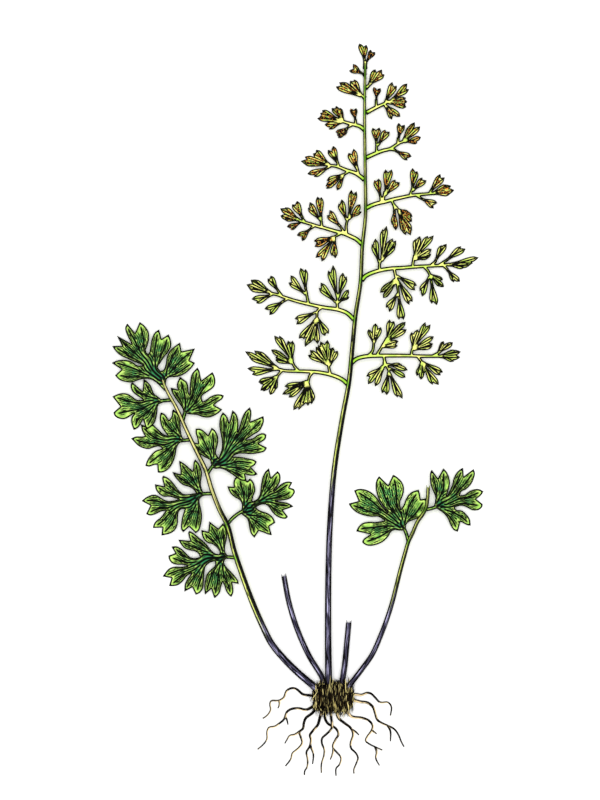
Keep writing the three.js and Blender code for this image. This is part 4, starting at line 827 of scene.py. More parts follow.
def veins_over(tree, blade, mottle, margin, lane, steep, tooth, cloud):
    """Dark veins over the colours of the blade, and the slight relief of the fine ones."""
    waver = add_node(tree, "ShaderNodeMapRange", (mottle, 0.3, 0.7, -0.07, 0.07))
    wavering = add_node(tree, "ShaderNodeMath", (lane, waver), operation="ADD")
    trunk, branch, main = (vein_gap(tree, lane, steep, number) for number in (0.25, 0.5, 1))
    sparse, fine, finest = (vein_gap(tree, wavering, steep, number) for number in (2, 4, 6))
    within, off_margin, off_tooth = (margin, 0.25, 0.45), (margin, 0.3, 0.5), (tooth, 1.4, 2.4)
    veined = paint(
        tree,
        blade,
        ("#050b04", (finest, 0.17, 0.12), off_margin, off_tooth, (cloud, 0.35, 0.45), (steep, 0.5, 0.4)),
        ("#050b04", (fine, 0.19, 0.13), off_margin, off_tooth, (steep, 0.36, 0.46), (steep, 0.85, 0.7)),
        ("#050b04", (sparse, 0.21, 0.15), off_margin, off_tooth, (steep, 0.6, 0.75), (steep, 1.3, 0.95)),
        ("#030602", (main, 0.3, 0.2), within, (tooth, 0.9, 1.6), (steep, 2.1, 1.6)),
        ("#030602", (branch, 0.34, 0.25), within, (steep, 1.3, 1.7), (steep, 4.2, 3.4)),
        ("#030602", (trunk, *BROADEST), within, (steep, 2.8, 3.4)),
    )
    bump = {"Height": fine, "Strength": 0.3, "Distance": 0.08 * MM}
    return veined, add_node(tree, "ShaderNodeBump", bump)


print("The broadest veins are drawn", round(sum(BROADEST), 2), "mm wide")


# %% Sterile leaf
# Fern leaf, living, with a waxy skin grown over fine cells. Wax has an IOR of about 1.45. The cells
# roughen it to about 0.6, and their dull skin mirrors a tenth of what the IOR allows, so the eye gets
# an even green and no glints. Distances are in millimetres, and the noise runs from 0 to 1. The
# mottling of the real leaf is as fine as its cells, 0.05 mm. It is drawn at 0.9 mm, so that it shows,
# and the broad clouds at 3.8 mm.
MOTTLE, CLOUD = 0.9 * MM, 3.8 * MM


def sterile_leaf_skin():
    material, tree, shader = new_material("sterile fern leaf, living", 1.45, 0.62, 0.05)
    margin, lane, steep, tooth, stalk = (
        add_node(tree, "ShaderNodeAttribute", attribute_name=name).outputs["Fac"]
        for name in ("margin", "lane", "steep", "tooth", "stalk")
    )
    place = add_node(tree, "ShaderNodeTexCoord").outputs["Object"]
    mottle = add_node(tree, "ShaderNodeTexNoise", {"Vector": place, "Scale": 1 / MOTTLE})
    cloud = add_node(tree, "ShaderNodeTexNoise", {"Vector": place, "Scale": 1 / CLOUD})
    blotched, clouded = (mottle, 0.3, 0.6, 0, 0.8), (cloud, 0.3, 0.55, 0.25, 1)
    blade = paint(
        tree,
        colour("#d0f27e"),
        ("#a9de63", (mottle, 0.35, 0.65)),
        ("#8abf53", (margin, 0.5, 1.3), (mottle, 0.25, 0.5)),
        ("#36985c", (tooth, 1.5, 5), (margin, 0.45, 1.3), blotched, clouded),
        ("#318450", (steep, 1, 2.2), (margin, 0.4, 0.9)),
        ("#235a35", (steep, 2, 4), (margin, 0.4, 0.9)),
    )
    veined, relief = veins_over(tree, blade, mottle, margin, lane, steep, tooth, cloud)
    edged = paint(
        tree,
        veined,
        ("#a5cf5e", (stalk, 0.35, 0)),
        ("#5f9440", (stalk, 0.35, 0), (mottle, 0.4, 0.6)),
        ("#030502", (margin, 0.42, 0.34)),
    )
    tree.links.new(edged, shader.inputs["Base Color"])
    tree.links.new(relief.outputs[0], shader.inputs["Normal"])
    return material


sterile_skin = sterile_leaf_skin()
finish_piece(left_leaf, sterile_skin, "sterile_leaf", "left_blade")
finish_piece(right_leaf, sterile_skin, "sterile_leaf", "right_blade")


# %% [markdown]
# ## The fertile frond
# The tall frond is divided three times: pinnae on the rachis, stalked sprays on the pinnae, and
# wedge-shaped lobes that fork into two tips. Each pinna could be grown by a rule, but on this plant
# each is different, so its lines are listed: an axis, its stalks, and for each lobe its
# start and one or two tips. Margins and veins are worked out from them.

# %% The plan of the fertile pinnae
FERTILE_PINNAE = read_rows({
    "tip": {
        "axis": [365, 70, 364.8, 62], "tip_height": 0.35, "bow": 0.2, "stalks": [[365, 68, 366, 63]],
        "lobes": [[364.5, 63, 359.3, 43.4, 366.3, 44.8], [366, 63, 370.8, 50, 375.3, 52.5]],
    },
    "left_7": {
        "axis": [365, 76.5, 363.5, 74.5], "tip_height": 1.6, "bow": 0.2, "stalks": [],
        "lobes": [[364, 75.5, 352.8, 64.3, 348.8, 71.3]],
    },
    "right_6": {
        "axis": [365, 89.5, 369, 86], "tip_height": 1.6, "bow": 0.2, "stalks": [],
        "lobes": [[368, 87, 375.3, 69.8], [368.5, 86.5, 382, 69.8, 384.5, 75]],
    },
    "left_6": {
        "axis": [365, 99.5, 361.5, 96], "tip_height": 1.4, "bow": 0.3, "stalks": [],
        "lobes": [
            [362, 97, 349.8, 81.5, 354, 80], [361, 97, 341.8, 82.3, 339, 82.6], [361, 97.5, 335.6, 87],
        ],
    },
    "right_5": {
        "tip_height": 1.0, "bow": 0.4, "stalks": [[376, 108.5, 376, 100]],
        "axis": [365.5, 114, 370, 111.5, 375, 108.8, 384, 104.5, 390, 101.5],
        "lobes": [
            [376, 101, 373.5, 87.8, 380.3, 88.8], [384, 104.5, 392.2, 82.3, 396.8, 86],
            [390, 101.5, 407.3, 83.5, 409.2, 89.5], [389, 102, 406, 98.3, 407.3, 102.3],
            [387, 103.2, 405.5, 105, 406.3, 107.6], [384, 105, 400.2, 117.3],
            [384, 105.5, 393.8, 116.5, 391.8, 120.3],
        ],
    },
    "left_5": {
        "tip_height": 1.0, "bow": 0.4,
        "stalks": [[355.5, 125.5, 355.3, 120], [352, 125.5, 347.5, 128.3]],
        "axis": [364.4, 131, 360, 127.5, 355.5, 126, 350, 124.5, 345, 123, 339, 121],
        "lobes": [
            [355.4, 122, 350.3, 109.3, 356, 108.8], [342, 121.5, 331.5, 108.3, 336, 106.2],
            [343.5, 121.5, 339.8, 108.3], [340, 121, 322, 110.4, 319.8, 113.5],
            [341, 121.6, 319.5, 116.3, 317, 118.8], [343, 123, 324.5, 125.2, 328.7, 130],
            [348.5, 128, 335.4, 133, 337, 136.5], [348.5, 128, 338, 138.6, 343.5, 136.8],
        ],
    },
    "right_4": {
        "tip_height": 0.8, "bow": 0.5,
        "axis": [365.3, 159, 370, 156.7, 376, 154, 382, 151.7, 390, 149.5, 399, 143.7, 405, 141.5],
        "stalks": [[376.3, 154, 376.3, 145], [397.5, 144.5, 398, 138], [389, 150, 396, 151]],
        "lobes": [
            [376, 146, 372.3, 128.5, 379.3, 128.2], [377, 147, 385, 130.2, 389.5, 132.3],
            [398, 140, 398.5, 123.2, 404.5, 125], [402, 142.5, 411.3, 125.5, 414.8, 122.3],
            [403.5, 142, 420.3, 126.5], [403, 142.5, 421, 137.3, 417.3, 143.5],
            [394, 150.6, 411.5, 157, 407.3, 161],
        ],
    },
    "left_4": {
        "tip_height": 0.8, "bow": 0.5,
        "axis": [
            364.4, 181, 360, 177.3, 355, 174, 350, 172.2, 345, 170.5, 340, 168.3, 335, 166.8, 329, 166,
        ],
        "stalks": [[358.3, 175, 356.8, 168], [338.8, 168, 337, 162], [349, 172, 343.5, 175.5]],
        "lobes": [
            [357, 171, 348.3, 153.5], [357, 171, 353.5, 149.3], [337.5, 164, 327.8, 150.2],
            [337.5, 164, 333, 146.3], [330, 166, 312.8, 153.8, 316, 150], [330, 166, 304.5, 157],
            [330, 166, 300.5, 161.2, 303.5, 163.8], [331, 167, 307.2, 174.3, 314, 177.3],
            [344.5, 175, 326.5, 181.2], [344, 175.5, 325.3, 186.8, 326, 189.5],
            [344, 175.5, 336.8, 191.3],
        ],
    },
    "right_3": {
        "tip_height": 0.8, "bow": 0.6,
        "axis": [
            365.1, 209.5, 372, 206, 378, 204, 385, 202.5, 392, 200.4, 400, 198.6, 407, 197, 415, 195.6,
            425, 194.6, 432, 194,
        ],
        "stalks": [
            [381, 203, 380, 196], [382.5, 202.5, 384.5, 192], [409.5, 196.5, 411.7, 190], [391, 200.5,
            393.3, 206, 394.5, 211], [393, 205, 399, 211.5], [416, 196, 421, 199],
        ],
        "lobes": [
            [380.2, 198.5, 374, 181, 378.3, 179.3], [384.5, 196, 385.3, 169.9, 391.6, 170],
            [384, 197, 395, 180.3, 399.6, 183], [411.5, 192, 412.3, 168.3, 417, 171.5],
            [412, 192, 422, 177.8, 426.3, 180.8], [428, 194.5, 440.3, 174.2, 444.6, 177.6],
            [431, 194, 447, 185, 451.3, 186], [431, 194.2, 454.3, 190.2, 450, 194.3],
            [420, 198.5, 437.3, 203.5, 433.5, 209], [394.2, 209, 391.5, 225.5, 395.6, 231.3],
            [398, 210.5, 403.4, 233.8, 405.5, 235.8], [398, 210.5, 410.5, 236, 411.8, 231.3],
            [397, 209.5, 408.8, 213.3, 412.2, 217.3], [397, 209.5, 411.8, 222.3],
        ],
    },
    "left_3": {
        "tip_height": 0.6, "bow": 0.6,
        "axis": [
            362, 245.5, 356, 240, 350, 237, 345, 234.8, 340, 233.3, 332, 231, 325, 228.8, 318, 227,
            310, 224.3, 303, 222.2, 299, 220.5,
        ],
        "stalks": [
            [346.5, 235, 346, 226, 348, 219], [344.5, 234.5, 340.5, 227.5], [321.8, 227.7, 321, 220],
            [305, 222.7, 302.5, 219], [315, 226, 310.5, 229], [341, 233.8, 334.5, 237.5],
        ],
        "lobes": [
            [346.8, 222.5, 338.3, 204.2, 341.5, 199.7], [348, 220, 351.2, 190, 356.5, 191.8],
            [347.8, 220.5, 360, 204.8, 361.6, 212.5], [341.5, 229, 326.6, 216, 329.4, 210.4],
            [321, 222, 307.8, 208.2, 309.6, 202.3], [321.2, 222, 317.3, 196.8, 321.3, 197.3],
            [303.3, 220.2, 292, 204.5, 297, 201], [300, 221, 280, 208.5, 285, 207.4],
            [300, 221, 280.3, 215.8, 284, 219.6], [302, 222, 286.6, 227.2, 290.8, 230.5],
            [311.5, 228.5, 296.6, 235.8, 302, 241.8], [335, 237.3, 313.5, 241.6, 315.5, 245.3],
            [334.5, 237.5, 314.3, 247.3], [334.5, 237.5, 315.3, 258.5, 321.5, 262.2],
            [334.8, 237.5, 331.7, 256.8, 335.2, 259.2],
        ],
    },
    "right_2": {
        "tip_height": 0.35, "bow": 0.6,
        "axis": [
            361.3, 281.5, 364.5, 277.3, 369, 274.6, 375, 272.3, 382, 270.5, 392, 269, 402, 268.4,
            412, 267.5, 422, 266.8, 432, 266.2, 442, 265.7, 449, 264.5,
        ],
        "stalks": [
            [379.5, 271, 379, 265, 381.5, 259.5], [412, 267.5, 413, 261, 413.8, 256], [430, 266.3,
            436, 261], [438, 266, 446, 260.5], [393.7, 269, 395, 276, 396.5, 283, 398.3, 296],
            [423.5, 267, 428, 272, 431, 280], [443, 265.7, 447.5, 270],
        ],
        "lobes": [
            [379, 265, 371.5, 244.5, 375, 239], [381, 261.5, 382.3, 229.3, 386.3, 226.2],
            [381, 262, 390, 240.5, 392.6, 238.8], [381, 262, 395.8, 241, 395.5, 246],
            [413.6, 259, 415, 239.3, 419.8, 236.3], [413.8, 259.5, 427.5, 236, 433.6, 235.7],
            [413.8, 260, 431.3, 249.5], [413.5, 260.5, 431, 254.5, 429, 257.7],
            [434, 263, 441.3, 245.3, 446.5, 244], [444, 262, 461, 246.3, 465.6, 248.8],
            [447, 264.7, 478.7, 257.5, 472.8, 263.3], [446, 265, 470, 265.3, 464.5, 267.6],
            [395.5, 279, 381, 291.3, 379.4, 293.4], [396, 282, 384, 297, 382.6, 298.6],
            [398, 293, 385.3, 308, 388.8, 312.6], [398.3, 294.5, 398.5, 320.3, 403.3, 320.3],
            [396.3, 279, 409, 305.5, 412.4, 302.3], [395.5, 275.5, 416.7, 286, 415, 291],
            [429.5, 276, 419, 291.3, 421.6, 297.2], [430.8, 279, 431.3, 304.3, 436.6, 305.6],
            [429.5, 274.5, 442.8, 280.2], [430, 275.5, 443.8, 287.3, 440, 287],
            [446, 268.5, 453.5, 282.7, 459.8, 281.8],
        ],
    },
    "left_2": {
        "tip_height": 1.5, "bow": 0.8,
        "axis": [
            354.3, 320.5, 347, 313.7, 341, 311, 335, 309.5, 326, 308.3, 318, 306.8, 310, 304.9,
            300, 302.5, 292, 300.2, 284, 297.5, 278, 295.3, 270, 293.3,
        ],
        "stalks": [
            [337.5, 310, 337, 303, 338, 296], [308.5, 304.5, 307, 297, 306, 290.5], [282, 296.7,
            277.5, 290], [288, 299, 284.5, 301], [322, 307.7, 317.5, 311.5, 316.8, 320],
        ],
        "lobes": [
            [337, 304.5, 318.5, 288.5, 320.5, 283], [337.3, 300, 327.8, 270.7, 332.8, 265.2],
            [337.8, 299, 342.8, 273, 346.5, 276.8], [337.2, 304, 348.6, 290, 349.3, 297.5],
            [306.6, 296, 288.3, 283, 290.5, 275.5], [306, 293, 300.5, 268, 305.7, 269.3],
            [279, 292.5, 267.5, 278.8, 270.8, 275.7], [272, 293.8, 250.5, 280, 254, 279.6],
            [272, 293.8, 246.4, 284.6, 249, 289], [274, 294.5, 251.4, 299.3, 256.3, 303.6],
            [285.5, 300.5, 264.3, 309.3, 269.3, 315.5], [317.5, 312, 294.3, 319.2, 296, 324.8],
            [316.8, 318, 298.7, 339, 303, 339.7], [316.8, 319, 304.8, 347.3, 309.5, 344],
            [316.8, 319, 314, 341.5, 317.5, 344.5], [316.8, 317, 328.8, 334, 325, 336.5],
        ],
    },
    "right_1": {
        "tip_height": 1.2, "bow": 0.5,
        "axis": [
            351, 363.5, 356, 359.3, 362, 357.2, 370, 356.2, 380, 355.9, 390, 355.8, 400, 355.8,
            410, 355.9, 420, 356.3, 430, 356.3, 441, 356.3,
        ],
        "stalks": [
            [367, 356.5, 372, 351.5, 373.6, 341], [376, 356, 382, 346, 386.5, 338], [411, 355.9,
            412, 349.5, 415, 346.5], [432, 356.3, 439, 352.5], [383, 356, 385, 363, 389, 372], [384, 360,
            383.5, 368], [417, 356.3, 422.5, 363.5],
        ],
        "lobes": [
            [373.4, 344, 368, 329.5], [373.4, 344, 375.3, 323.5], [373.4, 344, 380.7, 327.3],
            [386, 341, 389.2, 319.5, 393.8, 321.2], [386, 341, 402.5, 323, 405.5, 322],
            [385, 342.5, 406.5, 329.5], [382, 346, 398.3, 341.3], [381, 347.5, 397.5, 346],
            [412, 350, 411, 332.3, 417.5, 329.6], [413, 348.7, 425.2, 322, 430.5, 324.5],
            [413, 349, 433.8, 336.5], [412.3, 350, 433, 343.8, 432, 346.5], [437, 353.5, 443.4, 341.2],
            [437, 353.7, 449.5, 342.7, 452.8, 342.5], [438, 356.3, 456.5, 351, 460.8, 351.8],
            [438, 356.3, 460.2, 357.3, 454, 361.5], [383.8, 365, 365.6, 376.5, 367.5, 384.5],
            [383.6, 367, 374.6, 386.7], [388.5, 371, 381.4, 393.6, 386.4, 395.5],
            [388.5, 371, 397.2, 397.6, 402.3, 399], [385.5, 364, 401.6, 364.6, 407.5, 370.3],
            [387, 367, 405.3, 377.5], [421, 361.5, 416.3, 376.3], [421.5, 362.5, 420.5, 380, 424, 374],
            [422, 363, 432.4, 385, 438.6, 385], [421.5, 361.5, 442.9, 372.4, 440.5, 375.5],
        ],
    },
    "left_1": {
        "tip_height": 0.35, "bow": 0.5,
        "axis": [
            347.5, 384.5, 343, 380.3, 338, 377.5, 331, 375, 325, 373.5, 315, 372, 305, 371.5, 295, 371.2,
            285, 370.8, 276, 368.5,
        ],
        "stalks": [
            [330.5, 375, 328.7, 368, 328, 362], [299, 371.3, 294.5, 366.5, 291.5, 360], [282, 370.5,
            277, 376.5], [313, 372, 309.5, 376.5, 308, 384],
        ],
        "lobes": [
            [328.5, 366, 307.6, 355.3, 309.8, 350], [328.3, 365, 315.5, 346.7, 318, 345],
            [328.2, 364, 320.3, 341.5, 327.3, 340], [328.6, 366, 330.5, 348, 333, 347.3],
            [328.6, 367, 337.6, 350.8], [293, 364, 275.2, 360, 275.3, 357],
            [292.5, 363, 271, 349.7, 274, 350.5], [292, 361.5, 274.2, 335.5, 279.3, 335.5],
            [292.5, 363, 288, 340.5, 292.5, 340.5], [279, 369.5, 254, 350.5, 257.5, 350.8],
            [278, 369, 244.8, 351.3, 249, 357.5], [279, 369.5, 247, 368.5, 251.8, 374.6],
            [277.5, 376, 258.3, 382.3, 260, 384], [278, 375.3, 260.3, 390.7, 263, 391.5],
            [278, 375.3, 270, 395, 275.5, 390], [308.5, 381, 284.3, 386.5, 288, 389.3],
            [308.3, 382, 282, 394.5, 286, 391.5], [308.2, 382, 288.5, 397.7],
            [308.2, 382, 293.3, 410.5, 298.6, 410.3], [308.2, 382, 302.8, 406.3],
            [308.2, 382, 307.8, 406], [308.3, 382, 311.7, 404.5, 313.8, 401],
        ],
    },
})

RIPE_ABOVE = 262  # plan y: the pinnae above this line bear ripe sori
lobes = sum(len(form["lobes"]) for form in FERTILE_PINNAE.values())
print("The fertile frond has", len(FERTILE_PINNAE), "pinnae and", lobes, "lobes")


# %% [markdown]
# ## The fingers of a lobe
# A lobe is a wedge with one vein that forks. It could be cut from one outline, but the fork would
# then have to be drawn twice, for the margin and for the vein. Here a lobe is one or two fingers,
# which part on the way to their tips. Each is a vein with a margin beside it, and where the fingers
# overlap the net joins them into one sheet.

# %% The fingers of a lobe
FINGER = {"ways": (0.0, 0.3, 0.62, 0.84), "widths": (0.42, 0.6, 1.0, 0.86)}
FINGER_WIDTH = {"share": 0.15, "least": 2.1, "most": 2.9}  # half of it, in squares
FORK = {"way": 0.45, "spread": 0.3}  # where the fingers begin to part, and how much
FINGER_STEP, VEIN_STEP = 1.0, 0.25  # in squares and in mm


def fingers_of(lobe):
    """A lobe is one or two fingers that part on the way to their tips: a margin and a vein each."""
    start, tips = np.array(lobe[:2], float), np.array(lobe[2:], float).reshape(-1, 2)
    middle = tips.mean(axis=0) - start
    fingers = []
    for tip in tips:
        bend = start + FORK["way"] * (middle + FORK["spread"] * (tip - start - middle))
        vein = spline([start, bend, tip], FINGER_STEP)
        fingers.append((finger_margin(vein, tip), spline(plan(vein), VEIN_STEP)))
    return fingers


def finger_margin(vein, tip):
    """The margin beside a vein: narrow at its start, widest past its middle, sharp at its tip."""
    length = np.linalg.norm(tip - vein[0])
    half = np.clip(FINGER_WIDTH["share"] * length, FINGER_WIDTH["least"], FINGER_WIDTH["most"])
    right, left = [], []
    for way, width in zip(FINGER["ways"], FINGER["widths"]):
        i = min(round(way * (len(vein) - 1)), len(vein) - 2)
        ahead = (vein[i + 1] - vein[i]) / np.linalg.norm(vein[i + 1] - vein[i])
        across = half * width * np.array([-ahead[1], ahead[0]])
        right.append(vein[i] - across)
        left.append(vein[i] + across)
    return ring_of([[tuple(p) for p in row] for row in (right, [tip, *left[::-1]])], FERTILE_STEP)


trial_fingers = fingers_of((0, 0, 20, 4, 20, -4))
print("A forked lobe has", len(trial_fingers), "fingers, with", len(trial_fingers[0][0]), "points each")


# %% Distances to the veins
def nearest_veins(points, veins):
    """How far each point is from its nearest vein and the next one, and its way along the nearest."""
    gaps, ways = [], []
    for vein in veins:
        gap, which = distance_to(points, vein[:-1], vein[1:])
        gaps.append(gap)
        ways.append(which / (len(vein) - 1))
    order = np.argsort(gaps, axis=0)
    gaps, ways = np.array(gaps), np.array(ways)
    spot = np.arange(len(points))
    return gaps[order[0], spot], gaps[order[min(1, len(veins) - 1)], spot], ways[order[0], spot]


trial_veins = nearest_veins(plan([(10, 0)]), [vein for _, vein in trial_fingers])
print("Halfway between its veins it is", round(float(trial_veins[0][0]), 2), "mm from both")


# %% [markdown]
# ## One fertile pinna
# The real pinna has a round axis and round stalks, and thin lobes with a slight ridge along each
# vein. Tubes and sheets could be made apart, but they would cut through each other where they
# meet. Here one sheet takes the axis, the stalks and the lobes, and swells to a rod along the first
# two. The sori lie on it later, so the places for them are noted as it is made.

# %% The places of the sori
SORI = {"first": 0.4, "last": 0.85, "every": 2, "stray": 0.12, "near": 0.2, "lift": 0.03, "seed": 11}
rng = np.random.default_rng(SORI["seed"])


def sori_along(veins, points, heights):
    """Places of the sporangia: scattered beside the veins, on the face of the leaf."""
    grains = []
    for vein in veins:
        first, last = round(SORI["first"] * len(vein)), round(SORI["last"] * len(vein))
        for spot in vein[first : last : SORI["every"]]:
            place = spot + rng.normal(0, SORI["stray"], 2)
            close = np.linalg.norm(points - place, axis=1).argmin()
            if np.linalg.norm(points[close] - place) < SORI["near"]:
                grains.append([*place, heights[close] + SORI["lift"]])
    return grains


print("A sporangium strays by about", SORI["stray"], "mm from its vein")


# %% A fertile pinna from its lines
AXIS_HALF = (0.62, 0.44)  # half the width of a pinna's axis, at its root and at its tip
SPRAY_HALF = (0.46, 0.38)
FERTILE_RELIEF = {"rod": 0.26, "ridge": 0.06, "seam": 0.05, "pillow": 0.08}
FERTILE_RISE = {"pillow": (0, 0.5), "whole": (0, 0.35)}
HALF = {"ridge": 0.2, "seam": 0.12}  # of a ridge in mm, and of a seam as a share of the gap
LOBE_MARGIN_SHARE = 0.6
AXIS_STEP = 0.3
TOUCHING = 0.05  # mm: two veins that are nearer than this to a point together count as one


def fertile_pinna(stem, form):
    """A pinna as a closed sheet, with the values its material reads, and the places of its sori."""
    axis = spline(plan(form["axis"]), AXIS_STEP)
    stalks = [spline(plan(line), AXIS_STEP) for line in form["stalks"]]
    fingers = [finger for lobe in form["lobes"] for finger in fingers_of(lobe)]
    rods = [(axis, np.linspace(*AXIS_HALF, len(axis)))]
    rods += [(line, np.linspace(*SPRAY_HALF, len(line))) for line in stalks]
    veins = [vein for _, vein in fingers]
    rings = [band_of(line, half) for line, half in rods] + [margin for margin, _ in fingers]
    net = net_of(rings, [axis, *stalks, *veins], FERTILE_STEP)
    points, _, rim = net
    vein, second, along = nearest_veins(points, veins)
    height, way = droop(points, nearest(stem, axis[0]), form["tip_height"], form["bow"])
    marks = {
        "margin": distance_to(points, points[rim[:, 0]], points[rim[:, 1]])[0],
        "seam": (second - vein) / np.maximum(second + vein, TOUCHING),
        "vein": vein,
        "along": along,
        "rod": distance_to_lines(points, rods),
        "way": way,
        "ripe": np.full(len(points), float(form["axis"][0][1] < RIPE_ABOVE)),
    }
    top, bottom = fertile_faces(height, marks)
    return sheet_of(net, top, bottom, marks), sori_along(veins, points, top) if marks["ripe"][0] else []


def fertile_faces(height, marks):
    """The heights of the upper and the lower face of a fertile pinna."""
    relief, rise = FERTILE_RELIEF, risen(marks, FERTILE_RISE)
    rod = relief["rod"] * np.sqrt(np.clip(-marks["rod"] / AXIS_HALF[0], 0, 1))
    ridge = relief["ridge"] * np.exp(-((marks["vein"] / HALF["ridge"]) ** 2))
    seam = relief["seam"] * np.exp(-((marks["seam"] / HALF["seam"]) ** 2))
    pillow = relief["pillow"] * rise["pillow"]
    thin = LEAF * (LOBE_MARGIN_SHARE + (1 - LOBE_MARGIN_SHARE) * rise["whole"]) / 2
    return height + thin + ridge - seam + pillow + rod, height - thin - rod


print("The axis of a pinna narrows from", 2 * AXIS_HALF[0], "to", 2 * AXIS_HALF[1], "mm")


# %% The fertile pinnae
made = [fertile_pinna(stem_lines["fertile"], form) for form in FERTILE_PINNAE.values()]
fertile_leaf = new_object("fertile_leaf", *joined([sheet for sheet, _ in made]))
sori_places = [place for _, places in made for place in places]
print("The fertile frond bears", len(sori_places), "sporangia")


# %% [markdown]
# ## The surface of the fertile frond
# The fertile lobes are thin and yellow green, with dark veins and a dark margin, and stained orange
# to brown where the sori ripen. Where a pinna leaves the rachis its axis is fresh green. Each of
# these could be a material of its own, with hard borders. As coats over one ground they run into
# each other as they do on the leaf.

# %% Fertile leaf
# Fern leaf, living and thin, with the same waxy skin over fine cells: IOR 1.45, roughness 0.6. The
# eye gets a soft, light yellow green. The stain is as coarse as a group of sporangia, 0.7 mm. The
# patches and blotches are drawn at 2.4 and 1.4 mm, so that they show on lobes 1 mm wide.
STAIN, PATCH, BLOTCH = 0.67 * MM, 2.4 * MM, 1.4 * MM


def fertile_leaf_skin():
    material, tree, shader = new_material("fertile fern leaf, living", 1.45, 0.6, 0.05)
    margin, seam, vein, along, rod, ripe, way = (
        add_node(tree, "ShaderNodeAttribute", attribute_name=name).outputs["Fac"]
        for name in ("margin", "seam", "vein", "along", "rod", "ripe", "way")
    )
    place = add_node(tree, "ShaderNodeTexCoord").outputs["Object"]
    stain, patches, blotch = (
        add_node(tree, "ShaderNodeTexNoise", {"Vector": place, "Scale": 1 / size})
        for size in (STAIN, PATCH, BLOTCH)
    )
    ripening = (ripe, 0, 1), (stain, 0.52, 0.6), (vein, 0.45, 0.35), (rod, 0.1, 0.8)
    skin = paint(
        tree,
        colour("#fdff90"),
        ("#cfec68", (patches, 0.42, 0.6)),
        ("#9ed53e", (rod, 0.5, 0), (way, 0.15, 0.05)),
        ("#e39a3a", *ripening),
        ("#8a4a1e", *ripening, (blotch, 0.54, 0.62)),
        ("#060502", (vein, 0.23, 0.16), (along, 0.08, 0.2), (along, 1, 0.85), (margin, 0.2, 0.35)),
        ("#060502", (seam, 0.36, 0.26), (vein, 0.2, 0.3), (rod, 0, 0.25), (along, 0.1, 0.3)),
        ("#030302", (margin, 0.37, 0.29)),
        ("#030302", (rod, 0.05, -0.05), (margin, 0.42, 0.34)),
    )
    tree.links.new(skin, shader.inputs["Base Color"])
    return material


finish_piece(fertile_leaf, fertile_leaf_skin(), "fertile_leaf", "fertile_blade")


# %% [markdown]
# ## Stems as tubes along a path
# A stipe is a round wiry stalk. A curve object with a bevel would draw it, but its radius would
# have to be set point by point. A geometry tree takes it from a number that each point of a path
# holds, and one tree serves for all the stems and all the roots. It makes a curve of the path, cuts
# it in even steps, and sweeps a circle along it. Every tree here starts and ends alike, so two
# functions do that: named inputs at the start, and real meshes with a material at the end.

# %% The start and the end of a tree
def new_tree(name, **inputs):
    """A geometry tree with named inputs, and the sockets that give them."""
    tree = bpy.data.node_groups.new(name, "GeometryNodeTree")
    for key, kind in inputs.items():
        tree.interface.new_socket(key, in_out="INPUT", socket_type=f"NodeSocket{kind}")
    tree.interface.new_socket("Made", in_out="OUTPUT", socket_type="NodeSocketGeometry")
    return tree, add_node(tree, "NodeGroupInput").outputs


def end_tree(tree, made, finish):
    """What was made leaves the tree as real meshes with their material."""
    real = add_node(tree, "GeometryNodeRealizeInstances", (made,))
    finished = add_node(tree, "GeometryNodeSetMaterial", {"Geometry": real, "Material": finish})
    add_node(tree, "NodeGroupOutput", (finished,))
    print("The tree", tree.name, "has", len(tree.nodes), "nodes")
    return tree


trial_tree, trial_given = new_tree("trial", Shape="Geometry", Finish="Material")
end_tree(trial_tree, trial_given["Shape"], trial_given["Finish"])


# %% What a tree makes
def grow(host, tree, name, **values):
    """The plain mesh that a geometry tree makes from a host, which is then removed."""
    modifier = host.modifiers.new(tree.name, "NODES")
    modifier.node_group = tree
    sockets = {s.name: s.identifier for s in tree.interface.items_tree if s.in_out == "INPUT"}
    for key, value in values.items():
        modifier[sockets[key]] = value
    host.update_tag()
    graph = bpy.context.evaluated_depsgraph_get()
    mesh = bpy.data.meshes.new_from_object(host.evaluated_get(graph))
    bpy.data.objects.remove(host)
    made = bpy.data.objects.new(name, mesh)
    bpy.context.scene.collection.objects.link(made)
    return made


trial_plate = new_object("plate", np.column_stack([trial_ring, np.zeros(4)]), [(0, 1, 2, 3)])
trial_piece = grow(trial_plate, trial_tree, "trial", Finish=sterile_skin)
print("What the trial tree makes of a plate has", len(trial_piece.data.polygons), "face")
bpy.data.objects.remove(trial_piece)
bpy.data.node_groups.remove(trial_tree)


# %% A tube along a path
def tube_tree():
    sockets = {"Path": "Geometry", "Sides": "Int", "Step": "Float", "Finish": "Material"}
    tree, given = new_tree("tube along a path", **sockets)
    curve = add_node(tree, "GeometryNodeMeshToCurve", (given["Path"],))
    cut = {"Curve": curve, "Length": given["Step"]}
    even = add_node(tree, "GeometryNodeResampleCurve", cut, mode="LENGTH")
    radius = add_node(tree, "GeometryNodeInputNamedAttribute", {"Name": "radius"}, data_type="FLOAT")
    round_path = {"Resolution": given["Sides"], "Radius": 1.0}
    circle = add_node(tree, "GeometryNodeCurvePrimitiveCircle", round_path)
    sweep = {"Curve": even, "Profile Curve": circle, "Scale": radius, "Fill Caps": True}
    return end_tree(tree, add_node(tree, "GeometryNodeCurveToMesh", sweep), given["Finish"])


def path_host(lines):
    """An object of bare edges along some lines, each a pair of places and radii."""
    places, edges, radii, gone = [], [], [], []
    for line, widths in lines:
        first = len(places)
        edges += [(i, i + 1) for i in range(first, first + len(line) - 1)]
        places += [tuple(p) for p in line]
        radii += list(np.asarray(widths))
        gone += list(way_along(line))
    marks = {"radius": np.array(radii) * MM, "thick": radii, "gone": gone}
    return new_object("path", places, marks=marks, edges=edges)


tubes = tube_tree()
